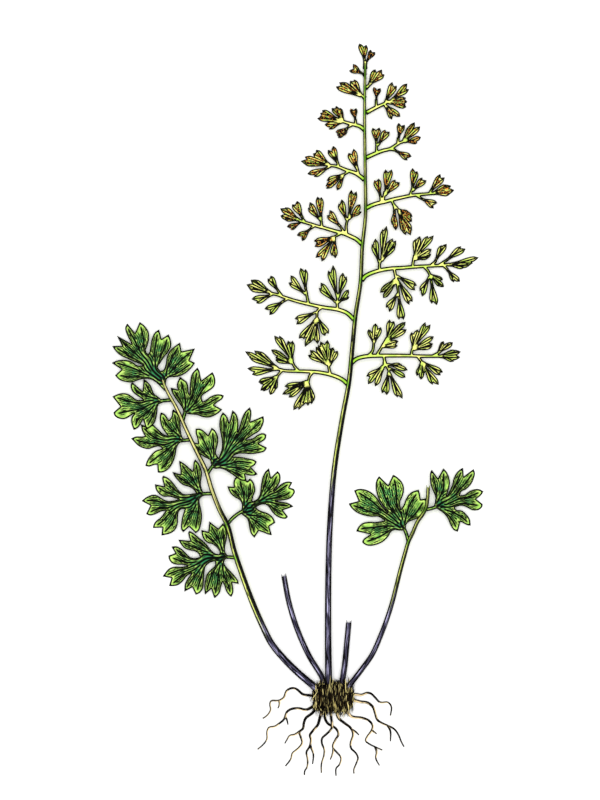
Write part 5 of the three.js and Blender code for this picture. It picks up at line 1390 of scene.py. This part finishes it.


# %% [markdown]
# ## The skin of the stems
# The stipe is slate purple, with pale lavender ridges that run along it. Above the turn it goes over
# into the yellow green of the rachis, bright green where a pinna leaves it. Painted shade makes the
# stem almost black along its sides and darker on its right side. The ridges could be modelled, but
# they are finer than the stem's own faces. A noise that is stretched along the stem and squeezed
# round it draws them.

# %% Stem skin
# Fern stipe, living: woody fibres under a thin waxed bark, which grows in ridges. IOR about 1.45 and
# roughness about 0.5, so the eye gets a slight sheen along the ridges. Real ridges are 0.1 mm wide.
# They are drawn at two widths, 0.23 and 0.11 mm, so that some show, and 6.5 and 3.1 mm long.
# How many ridges lie across a stem and down its side, their length, and how much finer some are.
RIDGES = {"across": 7.5, "down": 2.2, "length": 6.5, "finer": 2.1}


def stem_skin():
    material, tree, shader = new_material("fern stipe, wiry", 1.45, 0.5, 0.05)
    normal = add_node(tree, "ShaderNodeTexCoord").outputs["Normal"]
    right, _, up = add_node(tree, "ShaderNodeSeparateXYZ", (normal,)).outputs
    gone, thick, green, straw, joint = (
        add_node(tree, "ShaderNodeAttribute", attribute_name=name).outputs["Fac"]
        for name in ("gone", "thick", "green", "straw", "joint")
    )
    around = add_node(tree, "ShaderNodeCombineXYZ", (right, gone, up))
    drawn = (RIDGES["across"] / 2, 1 / RIDGES["length"], RIDGES["down"])
    turned = add_node(tree, "ShaderNodeVectorMath", (around, drawn), operation="MULTIPLY")
    ridges = add_node(tree, "ShaderNodeTexNoise", {"Vector": turned, "Scale": 1.0, "Detail": 4.0})
    streaks = add_node(tree, "ShaderNodeTexNoise", {"Vector": turned, "Scale": RIDGES["finer"]})
    flat = add_node(tree, "ShaderNodeCombineXYZ", (right, gone))  # streaks 1 mm long
    rough = add_node(tree, "ShaderNodeTexNoise", {"Vector": flat, "Scale": 1.0, "Detail": 3.0})
    # painted shade: darker on the side that faces right, broken up by streaks of noise
    shade = add_node(tree, "ShaderNodeMath", (rough, 0.6, right), operation="MULTIPLY_ADD")
    purple = paint(
        tree,
        colour("#0a080e"),
        ("#4f4b66", (ridges, 0.45, 0.49)),
        ("#b9b4d8", (ridges, 0.53, 0.58)),
        ("#08070b", (streaks, 0.5, 0.45)),
        ("#0f0d13", (shade, 0.5, 0.8, 0, 0.8), (up, 0, 0.25)),
    )
    yellow = paint(
        tree,
        colour("#bcd258"),
        ("#f2fb8c", (rough, 0.38, 0.55)),
        ("#f6ee9c", (straw, 0, 1), (rough, 0.3, 0.5)),
        ("#86cc34", (joint, 0, 1)),
        ("#1c1d10", (ridges, 0.46, 0.4)),
        ("#12120f", (shade, 0.06, 0.24), (up, 0, 0.25), (straw, 1.3, 0.3), (thick, 0.3, 0.6, 0.45, 1)),
    )
    whole = add_node(tree, "ShaderNodeMix", (green, purple, yellow), data_type="RGBA").outputs[2]
    # painted shade: almost black bands along the stem's sides, where its surface tilts away from straight
    # up, wider on thin stems
    edged = paint(
        tree,
        whole,
        ("#040304", (up, 0.88, 0.74), (up, 0.05, 0.2)),
        ("#040304", (up, 0.96, 0.88), (up, 0.05, 0.2), (thick, 0.8, 0.5)),
    )
    tree.links.new(edged, shader.inputs["Base Color"])
    bump = add_node(tree, "ShaderNodeBump", {"Height": ridges, "Strength": 0.4, "Distance": 0.2 * MM})
    tree.links.new(bump.outputs[0], shader.inputs["Normal"])
    print("The skin of the stems takes", len(tree.nodes), "nodes")
    return material


stem_finish = stem_skin()


# %% [markdown]
# ## The stems
# Two fronds of this plant are broken off short, and a third has lost its tip. A broken stipe is not
# cut clean: its fibres stand out a little way. They could be left out, but a smooth end looks like a
# pipe, so each torn end gets five thin fibres, swept by the same tree.

# %% Torn ends
# How far to the side of the stem each fibre starts, how far it reaches, and how high it starts.
FRAYS = ((-0.8, 1.1, 0.3), (-0.35, 0.5, 0.75), (0.15, 0.35, 0.8), (0.5, 0.8, 0.6), (0.85, 1.25, 0.2))
FRAY = {"within": 0.85, "length": 0.6, "spread": 0.12, "radii": (0.16, 0.05)}


def frays_of(line, radius):
    """The torn fibres at the end of a broken stem."""
    ahead = (line[-1] - line[-3]) / np.linalg.norm(line[-1] - line[-3])
    across = np.array([ahead[1], -ahead[0], 0])
    fibres = []
    for side, reach, lift in FRAYS:
        start = line[-1] + FRAY["within"] * radius * (side * across + np.array([0, 0, lift]))
        root = start - FRAY["length"] * ahead
        tip = start + FRAY["length"] * reach * ahead + FRAY["spread"] * side * across
        fibres.append((np.array([root, tip]), FRAY["radii"]))
    return fibres


print("A torn end has", len(FRAYS), "fibres")


# %% The five stems
TURN, PALE = (-4, 5), (-6, 6)  # from how far below to how far above the place of the change, in mm
JOINT_REACH = 1.1  # mm of fresh green round a joint
JOINT_FADE = 0.8  # the share of that green that is gone where the stem is straw
NEVER = -200  # a plan y past the tip of every stem
STEM_SIDES = 20


def stem_piece(name, line, form, junctions, torn, *nodes):
    """A stem along its line, which knows where it is green and where a pinna leaves it."""
    thick, thin = form["radii"]
    lines = [(line, np.linspace(thick, thin, len(line)))] + (frays_of(line, thin) if torn else [])
    piece = grow(path_host(lines), tubes, name, Sides=STEM_SIDES, Step=STEM_STEP * MM, Finish=stem_finish)
    places = np.array([tuple(v.co) for v in piece.data.vertices]) / MM
    turns, pales = ((CROWN[1] - form.get(key, NEVER)) * SQUARE for key in ("turns", "pales"))
    straw = soft_step(places[:, 1], pales + PALE[0], pales + PALE[1])
    joint = np.zeros(len(places))
    for spot in junctions:
        gap = np.linalg.norm(places[:, :2] - spot[:2], axis=1)
        joint = np.maximum(joint, np.exp(-((gap / JOINT_REACH) ** 2)))
    keep(piece.data, "green", soft_step(places[:, 1], turns + TURN[0], turns + TURN[1]))
    keep(piece.data, "straw", straw)
    keep(piece.data, "joint", joint * (1 - JOINT_FADE * straw))
    finish_piece(piece, stem_finish, "stipe", *nodes)


for side, form, pinnae, key in (
    ("fertile", FERTILE_STEM, FERTILE_PINNAE, "axis"),
    ("left", LEFT_STEM, LEFT_PINNAE, "stalk"),
    ("right", RIGHT_STEM, RIGHT_PINNAE, "stalk"),
):
    line = stem_lines[side]
    junctions = [nearest(line, plan(pinna[key][:1])[0]) for pinna in pinnae.values()]
    stem_piece(f"{side}_stem", line, form, junctions, side == "right", f"{side}_stipe")
for name, form in STUBS.items():
    stem_piece(f"{name}_stem", spline(plan(form["line"]), STEM_STEP), form, [], True, name)


# %% [markdown]
# ## Roots
# The roots are fine, wiry and dark brown, and wind away over the surface on which they lie. Their
# flank that faces lower right is painted tan in patches, as painted shade. Particle hair could grow
# them, but these are the roots of one plant, and each goes its own way. Their lines are those of the
# solids, and the tree of the stems sweeps them too. "from" is the height at which a root leaves the
# rhizome, and "falls" how far out it meets the surface.

# %% The lines of the roots
ROOTS = read_rows({
    "root_01": {
        "from": 2.6, "falls": 7, "radius": 0.44,
        "branches": [[279.6, 700.5, 279.3, 705.2, 277.8, 708.2]],
        "line": [
            318, 695.5, 309.7, 695, 303, 694.2, 296.5, 689, 291.3, 688, 286.2, 691.3, 284, 697.2,
            278.9, 700.5, 270.8, 700.8, 270, 705.2, 270.8, 709.6, 267, 715.5, 262.7, 718.4,
        ],
    },
    "root_02": {
        "from": 2.2, "falls": 6, "radius": 0.46, "branches": [[284.5, 715.5, 286.8, 719.2, 288, 724.5]],
        "line": [
            317.5, 701.5, 311.9, 706.7, 306, 709.6, 298.7, 708.2, 291.3, 708.9, 286.9, 711.8, 284, 719.2,
            278.9, 723.6, 274.5, 726.5, 269.3, 727.2, 267, 731.6, 267, 739, 262, 745.6, 257.6, 749.2,
        ],
    },
    "root_03": {
        "from": 1.6, "falls": 6, "radius": 0.48,
        "line": [
            321.5, 704, 315.5, 709, 311.9, 713.3, 306, 717.7, 303.8, 722.8, 303, 728.7, 299.4, 731.6,
            300.9, 737.5, 302.3, 742.6, 298.7, 747.8, 292, 753.6, 291.3, 758, 285.5, 766,
        ],
        "branches": [[299.9, 731.2, 294.3, 734.6, 289.9, 735.3, 287, 739.5, 284.7, 743.4]],
    },
    "root_04": {
        "from": 3.0, "falls": 8, "radius": 0.5, "branches": [[309.9, 745, 313.3, 753.6, 312.6, 764]],
        "line": [
            325, 702.5, 321.5, 711, 319.2, 720, 317.7, 725, 313.3, 730.2, 309.7, 735.3, 311, 739,
            309.7, 746.3, 306.3, 752.2, 307.5, 758, 307.2, 766.8, 304.5, 771.2, 304.5, 774.9,
        ],
    },
    "root_05": {
        "from": 1.4, "falls": 4, "radius": 0.46, "branches": [[333.3, 748.5, 332.5, 754, 330.2, 759.5]],
        "line": [
            327.5, 703, 325.6, 711, 325, 718.4, 328, 723.6, 335.4, 728, 338.6, 733.8, 335.4, 739.7,
            332.7, 747, 336.8, 752.2, 340.9, 757.3, 339.8, 764, 336, 768.3, 336, 775.6,
        ],
    },
    "root_06": {
        "from": 3.4, "falls": 14, "radius": 0.44, "branches": [],
        "line": [
            330.7, 702, 330.7, 711, 331.2, 718.4, 332, 723.6, 331.2, 728.7, 326.5, 733.8, 322, 738.2,
            322, 744, 324.3, 749.2, 323.6, 756.6, 321.4, 764, 321.4, 772.7,
        ],
    },
    "root_07": {
        "from": 1.8, "falls": 6, "radius": 0.5, "branches": [[352, 729.5, 355.6, 731.6, 359, 735]],
        "line": [
            336.5, 702, 336.7, 711, 338.3, 717.7, 344.2, 722.8, 350.8, 728, 353.2, 734.6, 350.8, 742,
            350.8, 747.8, 355.9, 753, 358, 758, 355.9, 764, 353.7, 769.8, 354, 773.4,
        ],
    },
    "root_08": {
        "from": 2.6, "falls": 6, "radius": 0.5,
        "line": [
            341.5, 703, 346, 710, 351.5, 716.3, 361.8, 717.7, 369, 720.6, 372.8, 725.8, 371.3, 731,
            367.5, 736, 365.5, 740.5, 369.5, 744, 375.7, 747, 382.3, 750,
        ],
        "branches": [[375, 746.5, 376.7, 752.2, 375.7, 758, 379.4, 765.4], [371.5, 730, 376.7, 733.8]],
    },
    "root_09": {
        "from": 2.0, "falls": 6, "radius": 0.5, "branches": [[387.6, 725.3, 390.4, 731, 390.4, 741.2]],
        "line": [
            347, 699, 354.4, 700, 360.3, 701.6, 367.6, 702.6, 372.8, 706.7, 375, 712.6, 377.2, 719.6,
            381.6, 722.8, 388.2, 725.8, 394, 728.7, 398.4, 734.6, 401.4, 742, 404, 746.6,
        ],
    },
    "root_10": {
        "from": 3.0, "falls": 7, "radius": 0.44, "branches": [],
        "line": [
            347, 693.5, 356.6, 694, 361.8, 694.7, 366.2, 692.8, 370.6, 693.2, 375.7, 698, 380, 702.3,
            388.2, 702.3, 391.4, 706.7, 390.4, 715.5,
        ],
    },
})

forks = sum(len(form["branches"]) for form in ROOTS.values())
print("There are", len(ROOTS), "roots with", forks, "branches")


# %% Root lines in space
ROOT_SHARE = 0.8  # the roots that are seen are finer than their solids
ROOT_TIPS = {"main": 0.17, "branch": 0.14}
BRANCH_SHARE = 0.75
ROOT_SIDES, ROOT_STEP, ROOT_CUT = 10, 0.5, 0.4  # steps of its line and of its tube, in mm


def root_line(line, start, falls, radius):
    """A root's line in space: it comes down from the rhizome and then lies on the surface."""
    flat = spline(plan(line), ROOT_STEP)
    left = np.clip(1 - way_along(flat) / falls, 0, 1)
    return np.column_stack([flat, radius + (start - radius) * left**2])


def root_lines(form):
    """The main line of a root and its branches, with their radii."""
    radius = form["radius"] * ROOT_SHARE
    main = root_line(form["line"], form["from"], form["falls"], radius)
    lines = [(main, np.linspace(radius, ROOT_TIPS["main"], len(main)))]
    for branch in form["branches"]:
        side = root_line(branch, radius, 1, radius)
        side[0] = nearest(main, side[0])
        lines.append((side, np.linspace(radius * BRANCH_SHARE, ROOT_TIPS["branch"], len(side))))
    return lines


whole = sum(way_along(line)[-1] for form in ROOTS.values() for line, _ in root_lines(form))
print("End to end the roots are", round(whole), "mm long")


# %% Root skin
# Fern root, living: dark cork. IOR about 1.5 and roughness about 0.75, so the eye gets no sheen. The
# cork's flecks are 1.4 mm, and the tan spans 3.8 mm long, drawn longer than real ones, so that they
# show. The tan is painted shade on the flank that faces lower right, in spans 3.8 mm long, drawn long
# so that they show.
FLECK, SHADE_SPAN = 1.4 * MM, 3.8 * MM


def root_skin():
    material, tree, shader = new_material("fern root, corky", 1.5, 0.75, 0.05)
    texture = add_node(tree, "ShaderNodeTexCoord").outputs
    facing = (texture["Normal"], (0.7, -0.7, 0))
    shaded_flank = add_node(tree, "ShaderNodeVectorMath", facing, operation="DOT_PRODUCT")
    flecks = add_node(tree, "ShaderNodeTexNoise", {"Vector": texture["Object"], "Scale": 1 / FLECK})
    spans = add_node(tree, "ShaderNodeTexNoise", {"Vector": texture["Object"], "Scale": 1 / SHADE_SPAN})
    thick = add_node(tree, "ShaderNodeAttribute", attribute_name="thick").outputs["Fac"]
    skin = paint(
        tree,
        colour("#060403"),
        ("#2b2015", (flecks, 0.5, 0.7)),
        # painted shade: tan on the flank that faces lower right, in patches, and not on the thin tips
        ("#f2d9a6", (shaded_flank, 0.08, 0.3), (spans, 0.45, 0.52), (thick, 0.15, 0.22)),
    )
    tree.links.new(skin, shader.inputs["Base Color"])
    bump = add_node(tree, "ShaderNodeBump", {"Height": flecks, "Strength": 0.5, "Distance": 0.3 * MM})
    tree.links.new(bump.outputs[0], shader.inputs["Normal"])
    return material


root_finish = root_skin()
for name, form in ROOTS.items():
    swept = {"Sides": ROOT_SIDES, "Step": ROOT_CUT * MM, "Finish": root_finish}
    piece = grow(path_host(root_lines(form)), tubes, f"{name}_skin", **swept)
    finish_piece(piece, root_finish, "root", name)


# %% [markdown]
# ## The rhizome
# The rhizome is a short stub, hidden under a coat of narrow dry scales. The stub could be a cube
# with rounded edges, but a real one has no flat sides. It is a ball that is pushed out towards the
# corners of a box, with shallow furrows, and cut off flat where it stands on the surface.

# %% The stub
CORE = {"half": (5.3, 3.3, 3.9), "height": 3.5, "squareness": 3, "ridges": 17, "furrow": 0.05}


def ball_of(around, rings):
    """The points and faces of a round ball."""
    turns = np.arange(around) * 2 * math.pi / around
    circle = np.column_stack([np.cos(turns), np.sin(turns)])
    tilts = np.arange(1, rings) * math.pi / rings
    rows = [np.column_stack([circle * math.sin(t), np.full(around, math.cos(t))]) for t in tilts]
    points = np.vstack([[(0, 0, 1)], *rows, [(0, 0, -1)]])
    after = [(j, (j + 1) % around) for j in range(around)]
    last = len(points) - 1
    lowest = last - around
    faces = [(0, 1 + j, 1 + k) for j, k in after]
    for row in range(1, lowest, around):
        faces += [(row + j, row + around + j, row + around + k, row + k) for j, k in after]
    return points, faces + [(last, lowest + k, lowest + j) for j, k in after]


def core(name, share, around, rings):
    """A rounded block that stands on the surface, with shallow furrows between its ridges."""
    points, faces = ball_of(around, rings)
    power = CORE["squareness"]
    points = points / ((np.abs(points) ** power).sum(axis=1) ** (1 / power))[:, None]
    wave = 0.5 + 0.5 * np.cos(CORE["ridges"] * np.arctan2(points[:, 2], points[:, 0]))
    furrow = 1 - CORE["furrow"] * wave * np.hypot(points[:, 0], points[:, 2])
    x, y, z = (points * CORE["half"] * share).T
    height = np.maximum(0, CORE["height"] + z * furrow)
    return new_object(name, np.column_stack([x * furrow, y, height]), faces)


rhizome = core("rhizome_core", share=0.93, around=72, rings=36)
print("The stub is", round(1000 * rhizome.dimensions.x, 1), "mm wide")


# %% Rhizome bark
# Rhizome bark: dark fibres, 0.45 mm wide and 4.5 mm long, left by old scales. IOR about 1.5 and
# roughness about 0.85. It shows only in the gaps of the coat, where the eye gets depth from it.
FIBRE = {"width": 0.45 * MM, "length": 4.5 * MM}


def core_skin():
    material, tree, shader = new_material("fern rhizome, bark", 1.5, 0.85, 0.1)
    place = add_node(tree, "ShaderNodeTexCoord").outputs["Object"]
    drawn = (1 / FIBRE["width"], 1 / FIBRE["length"], 1 / FIBRE["width"])
    along = add_node(tree, "ShaderNodeMapping", {"Vector": place, "Scale": drawn})
    fibres = add_node(tree, "ShaderNodeTexNoise", {"Vector": along, "Scale": 1.0})
    skin = paint(tree, colour("#080503"), ("#4b3b1c", (fibres, 0.5, 0.68)))
    tree.links.new(skin, shader.inputs["Base Color"])
    return material


finish_piece(rhizome, core_skin(), "rhizome", "rhizome")


# %% [markdown]
# ## The coat of scales
# The scales are dry, narrow and pointed. They lie along the stub and fray out at both ends. They
# could be placed by hand or as hair, but there are over two thousand, and hair has no width. One
# scale of a few faces is scattered by a geometry tree instead: each copy lies on the stub, points
# to the nearer end, and leans out a little. Most are short, and a few are long.

# %% One scale
SCALE_WIDTHS = ((0.0, 0.13), (0.25, 0.19), (0.55, 0.17), (0.8, 0.11))  # how far along, and how wide
KEEL, TIP = 0.14, 0.05  # how high its middle and its tip stand


def chaff_scale():
    """A narrow pointed scale, bowed along its middle, a millimetre long from its root at the origin."""
    vertices = [v for y, w in SCALE_WIDTHS for v in ((-w / 2, y, 0), (0, y, KEEL), (w / 2, y, 0))]
    vertices.append((0, 1, TIP))
    faces = []
    for i in range(0, 9, 3):
        faces += [(i, i + 1, i + 4, i + 3), (i + 1, i + 2, i + 5, i + 4), (i + 2, i, i + 3, i + 5)]
    faces += [(9, 10, 12), (10, 11, 12), (11, 9, 12), (2, 1, 0)]
    return new_object("chaff_scale", vertices, faces)


scale = chaff_scale()
print("One scale has", len(scale.data.polygons), "faces")


# %% How a scale lies
CHAFF = {"foot": 0.4, "stray": 2.5, "sway": 0.2, "lean": (0.02, 0.2), "widths": (0.5, 1.1), "rarity": 6}
SEEDS = {"sway": 3, "end": 8, "lean": 5, "length": 7, "width": 9}


def lie_of(tree, normal, y):
    """A scale's turn: flat on the stub, with its tip to the nearer end, swayed and leaning out."""
    sway = CHAFF["sway"]
    jitter = ((-sway, 0, 0), (sway, 0, 0), None, SEEDS["sway"])
    swayed = add_node(tree, "FunctionNodeRandomValue", jitter, data_type="FLOAT_VECTOR")
    stray = (-CHAFF["stray"] * MM, CHAFF["stray"] * MM, None, SEEDS["end"])
    doubt = add_node(tree, "FunctionNodeRandomValue", stray, data_type="FLOAT")
    end = add_node(tree, "ShaderNodeMath", (y, doubt), operation="ADD")
    side = add_node(tree, "ShaderNodeMath", (end,), operation="SIGN")
    ahead = add_node(tree, "ShaderNodeCombineXYZ", (None, side))
    heading = add_node(tree, "ShaderNodeVectorMath", (ahead, swayed), operation="ADD")
    flat = add_node(tree, "FunctionNodeAlignRotationToVector", {"Vector": normal}, axis="Z")
    aimed = {"Rotation": flat, "Vector": heading}
    along = add_node(tree, "FunctionNodeAlignRotationToVector", aimed, axis="Y", pivot_axis="Z")
    leaning = (*CHAFF["lean"], None, SEEDS["lean"])
    lean = add_node(tree, "FunctionNodeRandomValue", leaning, data_type="FLOAT")
    tipped = {"Rotation": along, "Rotate By": add_node(tree, "ShaderNodeCombineXYZ", (lean,))}
    return add_node(tree, "FunctionNodeRotateRotation", tipped, rotation_space="LOCAL")


def size_of(tree, shortest, longest):
    """A scale's width and length: a high power of a draw leaves most near the shortest."""
    draw = add_node(tree, "FunctionNodeRandomValue", {"Seed": SEEDS["length"]}, data_type="FLOAT")
    rare = add_node(tree, "ShaderNodeMath", (draw, CHAFF["rarity"]), operation="POWER")
    length = add_node(tree, "ShaderNodeMapRange", {"Value": rare, "To Min": shortest, "To Max": longest})
    widths = (*CHAFF["widths"], None, SEEDS["width"])
    width = add_node(tree, "FunctionNodeRandomValue", widths, data_type="FLOAT")
    return add_node(tree, "ShaderNodeCombineXYZ", (width, length, 1.0))


widest = max(width for _, width in SCALE_WIDTHS)
print("A scale is", " to ".join(f"{widest * share:.2f}" for share in CHAFF["widths"]), "mm wide")


# %% The tree of the coat
GROUND = 0.03  # mm above the surface, below which no scale reaches


def chaff_tree():
    tree, given = new_tree(
        "coat of scales", Body="Geometry", Scale="Object", Density="Float", Seed="Int",
        Shortest="Float", Longest="Float", Finish="Material",
    )
    x, y, z = add_node(tree, "ShaderNodeSeparateXYZ", (add_node(tree, "GeometryNodeInputPosition"),)).outputs
    above = add_node(tree, "ShaderNodeMath", (z, CHAFF["foot"] * MM), operation="GREATER_THAN")
    where = {"Mesh": given["Body"], "Selection": above, "Density": given["Density"], "Seed": given["Seed"]}
    spread = add_node(tree, "GeometryNodeDistributePointsOnFaces", where)
    draw = add_node(tree, "FunctionNodeRandomValue", {"Seed": given["Seed"]}, data_type="FLOAT")
    tone = {"Geometry": spread, "Name": "tone", "Value": draw}
    toned = add_node(tree, "GeometryNodeStoreNamedAttribute", tone, data_type="FLOAT")
    shape = add_node(tree, "GeometryNodeObjectInfo", {"Object": given["Scale"]}).outputs["Geometry"]
    turn = lie_of(tree, spread.outputs["Normal"], y)
    size = size_of(tree, given["Shortest"], given["Longest"])
    placing = {"Points": toned, "Instance": shape, "Rotation": turn, "Scale": size}
    placed = add_node(tree, "GeometryNodeInstanceOnPoints", placing)
    real = add_node(tree, "GeometryNodeRealizeInstances", (placed,))
    lifted = add_node(tree, "ShaderNodeMath", (z, GROUND * MM), operation="MAXIMUM")
    rest = {"Geometry": real, "Position": add_node(tree, "ShaderNodeCombineXYZ", (x, y, lifted))}
    return end_tree(tree, add_node(tree, "GeometryNodeSetPosition", rest), given["Finish"])


coat_of_scales = chaff_tree()


# %% Chaff
# Dry fern scales: one layer of dead cells, papery, brown black to straw. IOR about 1.5, roughness
# about 0.8. The eye gets light and dark strokes, because each scale has a tone of its own.
COAT = {"Density": 12 / MM**2, "Seed": 4, "Shortest": 1.6, "Longest": 4.2}  # lengths in mm


def chaff_skin():
    material, tree, shader = new_material("fern chaff, dry", 1.5, 0.8, 0.05)
    tone = add_node(tree, "ShaderNodeAttribute", attribute_name="tone").outputs["Fac"]
    skin = paint(tree, colour("#050302"), ("#2c2213", (tone, 0.5, 0.7)), ("#ecdc90", (tone, 0.77, 0.9)))
    tree.links.new(skin, shader.inputs["Base Color"])
    return material


chaff_finish = chaff_skin()
chaff_host = core("host", share=0.9, around=48, rings=24)
chaff = grow(chaff_host, coat_of_scales, "chaff", Scale=scale, Finish=chaff_finish, **COAT)
print("The coat has", len(chaff.data.polygons) // len(scale.data.polygons), "scales")
bpy.data.objects.remove(scale)
finish_piece(chaff, chaff_finish, "rhizome")


# %% [markdown]
# ## Sori
# The sporangia of this fern stand naked along the veins, as tiny round grains. A bump in the leaf's
# material could stand for them, but it would leave the outline of the leaf smooth, and the exported
# mesh without them. Each is a small ball, placed on a point and drawn larger or smaller at random.

# %% The tree of the sporangia
SIZE_SEED = 2


def grain_tree():
    tree, given = new_tree(
        "sporangia", Places="Geometry", Smallest="Float", Largest="Float", Seed="Int", Finish="Material"
    )
    points = add_node(tree, "GeometryNodeMeshToPoints", (given["Places"],))
    draw = add_node(tree, "FunctionNodeRandomValue", {"Seed": given["Seed"]}, data_type="FLOAT")
    tone = {"Geometry": points, "Name": "tone", "Value": draw}
    toned = add_node(tree, "GeometryNodeStoreNamedAttribute", tone, data_type="FLOAT")
    sizes = (given["Smallest"], given["Largest"], None, SIZE_SEED)
    size = add_node(tree, "FunctionNodeRandomValue", sizes, data_type="FLOAT")
    ball = add_node(tree, "GeometryNodeMeshUVSphere", {"Segments": 8, "Rings": 5, "Radius": 1.0})
    placing = {"Points": toned, "Instance": ball, "Scale": size}
    return end_tree(tree, add_node(tree, "GeometryNodeInstanceOnPoints", placing), given["Finish"])


sporangia = grain_tree()


# %% Sporangia
# Ripe sporangia: tiny capsules with a hard, smooth skin. IOR about 1.5 and roughness about 0.45, so
# the eye gets a soft gloss on orange to dark red brown. Real ones are 0.2 to 0.3 mm wide, as here.
def grain_skin():
    material, tree, shader = new_material("fern sporangia, ripe", 1.5, 0.45, 0.25)
    tone = add_node(tree, "ShaderNodeAttribute", attribute_name="tone").outputs["Fac"]
    skin = paint(tree, colour("#e8973a"), ("#a0521f", (tone, 0.2, 0.6)), ("#24130b", (tone, 0.6, 0.85)))
    tree.links.new(skin, shader.inputs["Base Color"])
    return material


grain_finish = grain_skin()
places = new_object("places", sori_places)
radii = {"Smallest": 0.09 * MM, "Largest": 0.15 * MM}
grains = grow(places, sporangia, "sori", Seed=6, Finish=grain_finish, **radii)
finish_piece(grains, grain_finish, "fertile_leaf")


# %% [markdown]
# ## Stage and light
# A flat plant shows best in even light from above, as on a copy stand. Lamps from the side would
# throw shadows of the fronds on the floor. One large soft box straight overhead hides its shadows
# under the plant, and a weak white world lights what stands free of it. The floor is matte paint.

# %% The floor
# White emulsion paint, rolled on: IOR about 1.5 and roughness about 0.9, so the eye gets an even
# white with no gloss.
FLOOR_HALF = 3000


def floor_skin():
    material, _, shader = new_material("floor, matte paint", 1.5, 0.9, 0.1)
    shader.inputs["Base Color"].default_value = colour("#fbfbf9")
    return material


corners = np.array([(-1, -1, 0), (1, -1, 0), (1, 1, 0), (-1, 1, 0)]) * FLOOR_HALF
floor = new_object("floor", corners, [(0, 1, 2, 3)])
floor.data.materials.append(floor_skin())
print("The floor is", 2 * FLOOR_HALF * MM, "m wide")


# %% The light
FRAME = (600, 800)
LIGHT = {"world": 0.5, "lamp": 22, "size": 0.6, "height": 1.6}
middle = Vector((*(plan([(FRAME[0] / 2, FRAME[1] / 2)])[0] * MM), 0))

world = bpy.data.worlds.new("studio")
bpy.context.scene.world = world
world.use_nodes = True
background = world.node_tree.nodes["Background"]
background.inputs["Color"].default_value = colour("#ffffff")
background.inputs["Strength"].default_value = LIGHT["world"]

lamp = bpy.data.lights.new("soft box", "AREA")
lamp.shape, lamp.size, lamp.energy = "SQUARE", LIGHT["size"], LIGHT["lamp"]
box = bpy.data.objects.new("soft box", lamp)
bpy.context.scene.collection.objects.link(box)
box.location = middle + Vector((0, 0, LIGHT["height"]))
print("The soft box hangs", LIGHT["height"], "m above the plant")


# %% [markdown]
# ## Camera
# The plant is seen straight from above, as on a sheet. An orthographic camera would show it without
# perspective, but then its other views would look flat too. A long lens from far off comes close
# to that and keeps a little depth. Its frame is the 600 by 800 squares of the plan.

# %% The camera
LENS = 200
SENSOR = 36

lens = bpy.data.cameras.new("camera")
lens.lens, lens.sensor_fit, lens.sensor_height = LENS, "VERTICAL", SENSOR
camera = bpy.data.objects.new("camera", lens)
bpy.context.scene.collection.objects.link(camera)
camera.location = middle + Vector((0, 0, FRAME[1] * SQUARE * MM * LENS / SENSOR))
bpy.context.scene.camera = camera
bpy.context.scene.view_settings.view_transform = "Standard"
print("The camera looks down from", round(camera.location.z, 2), "m")
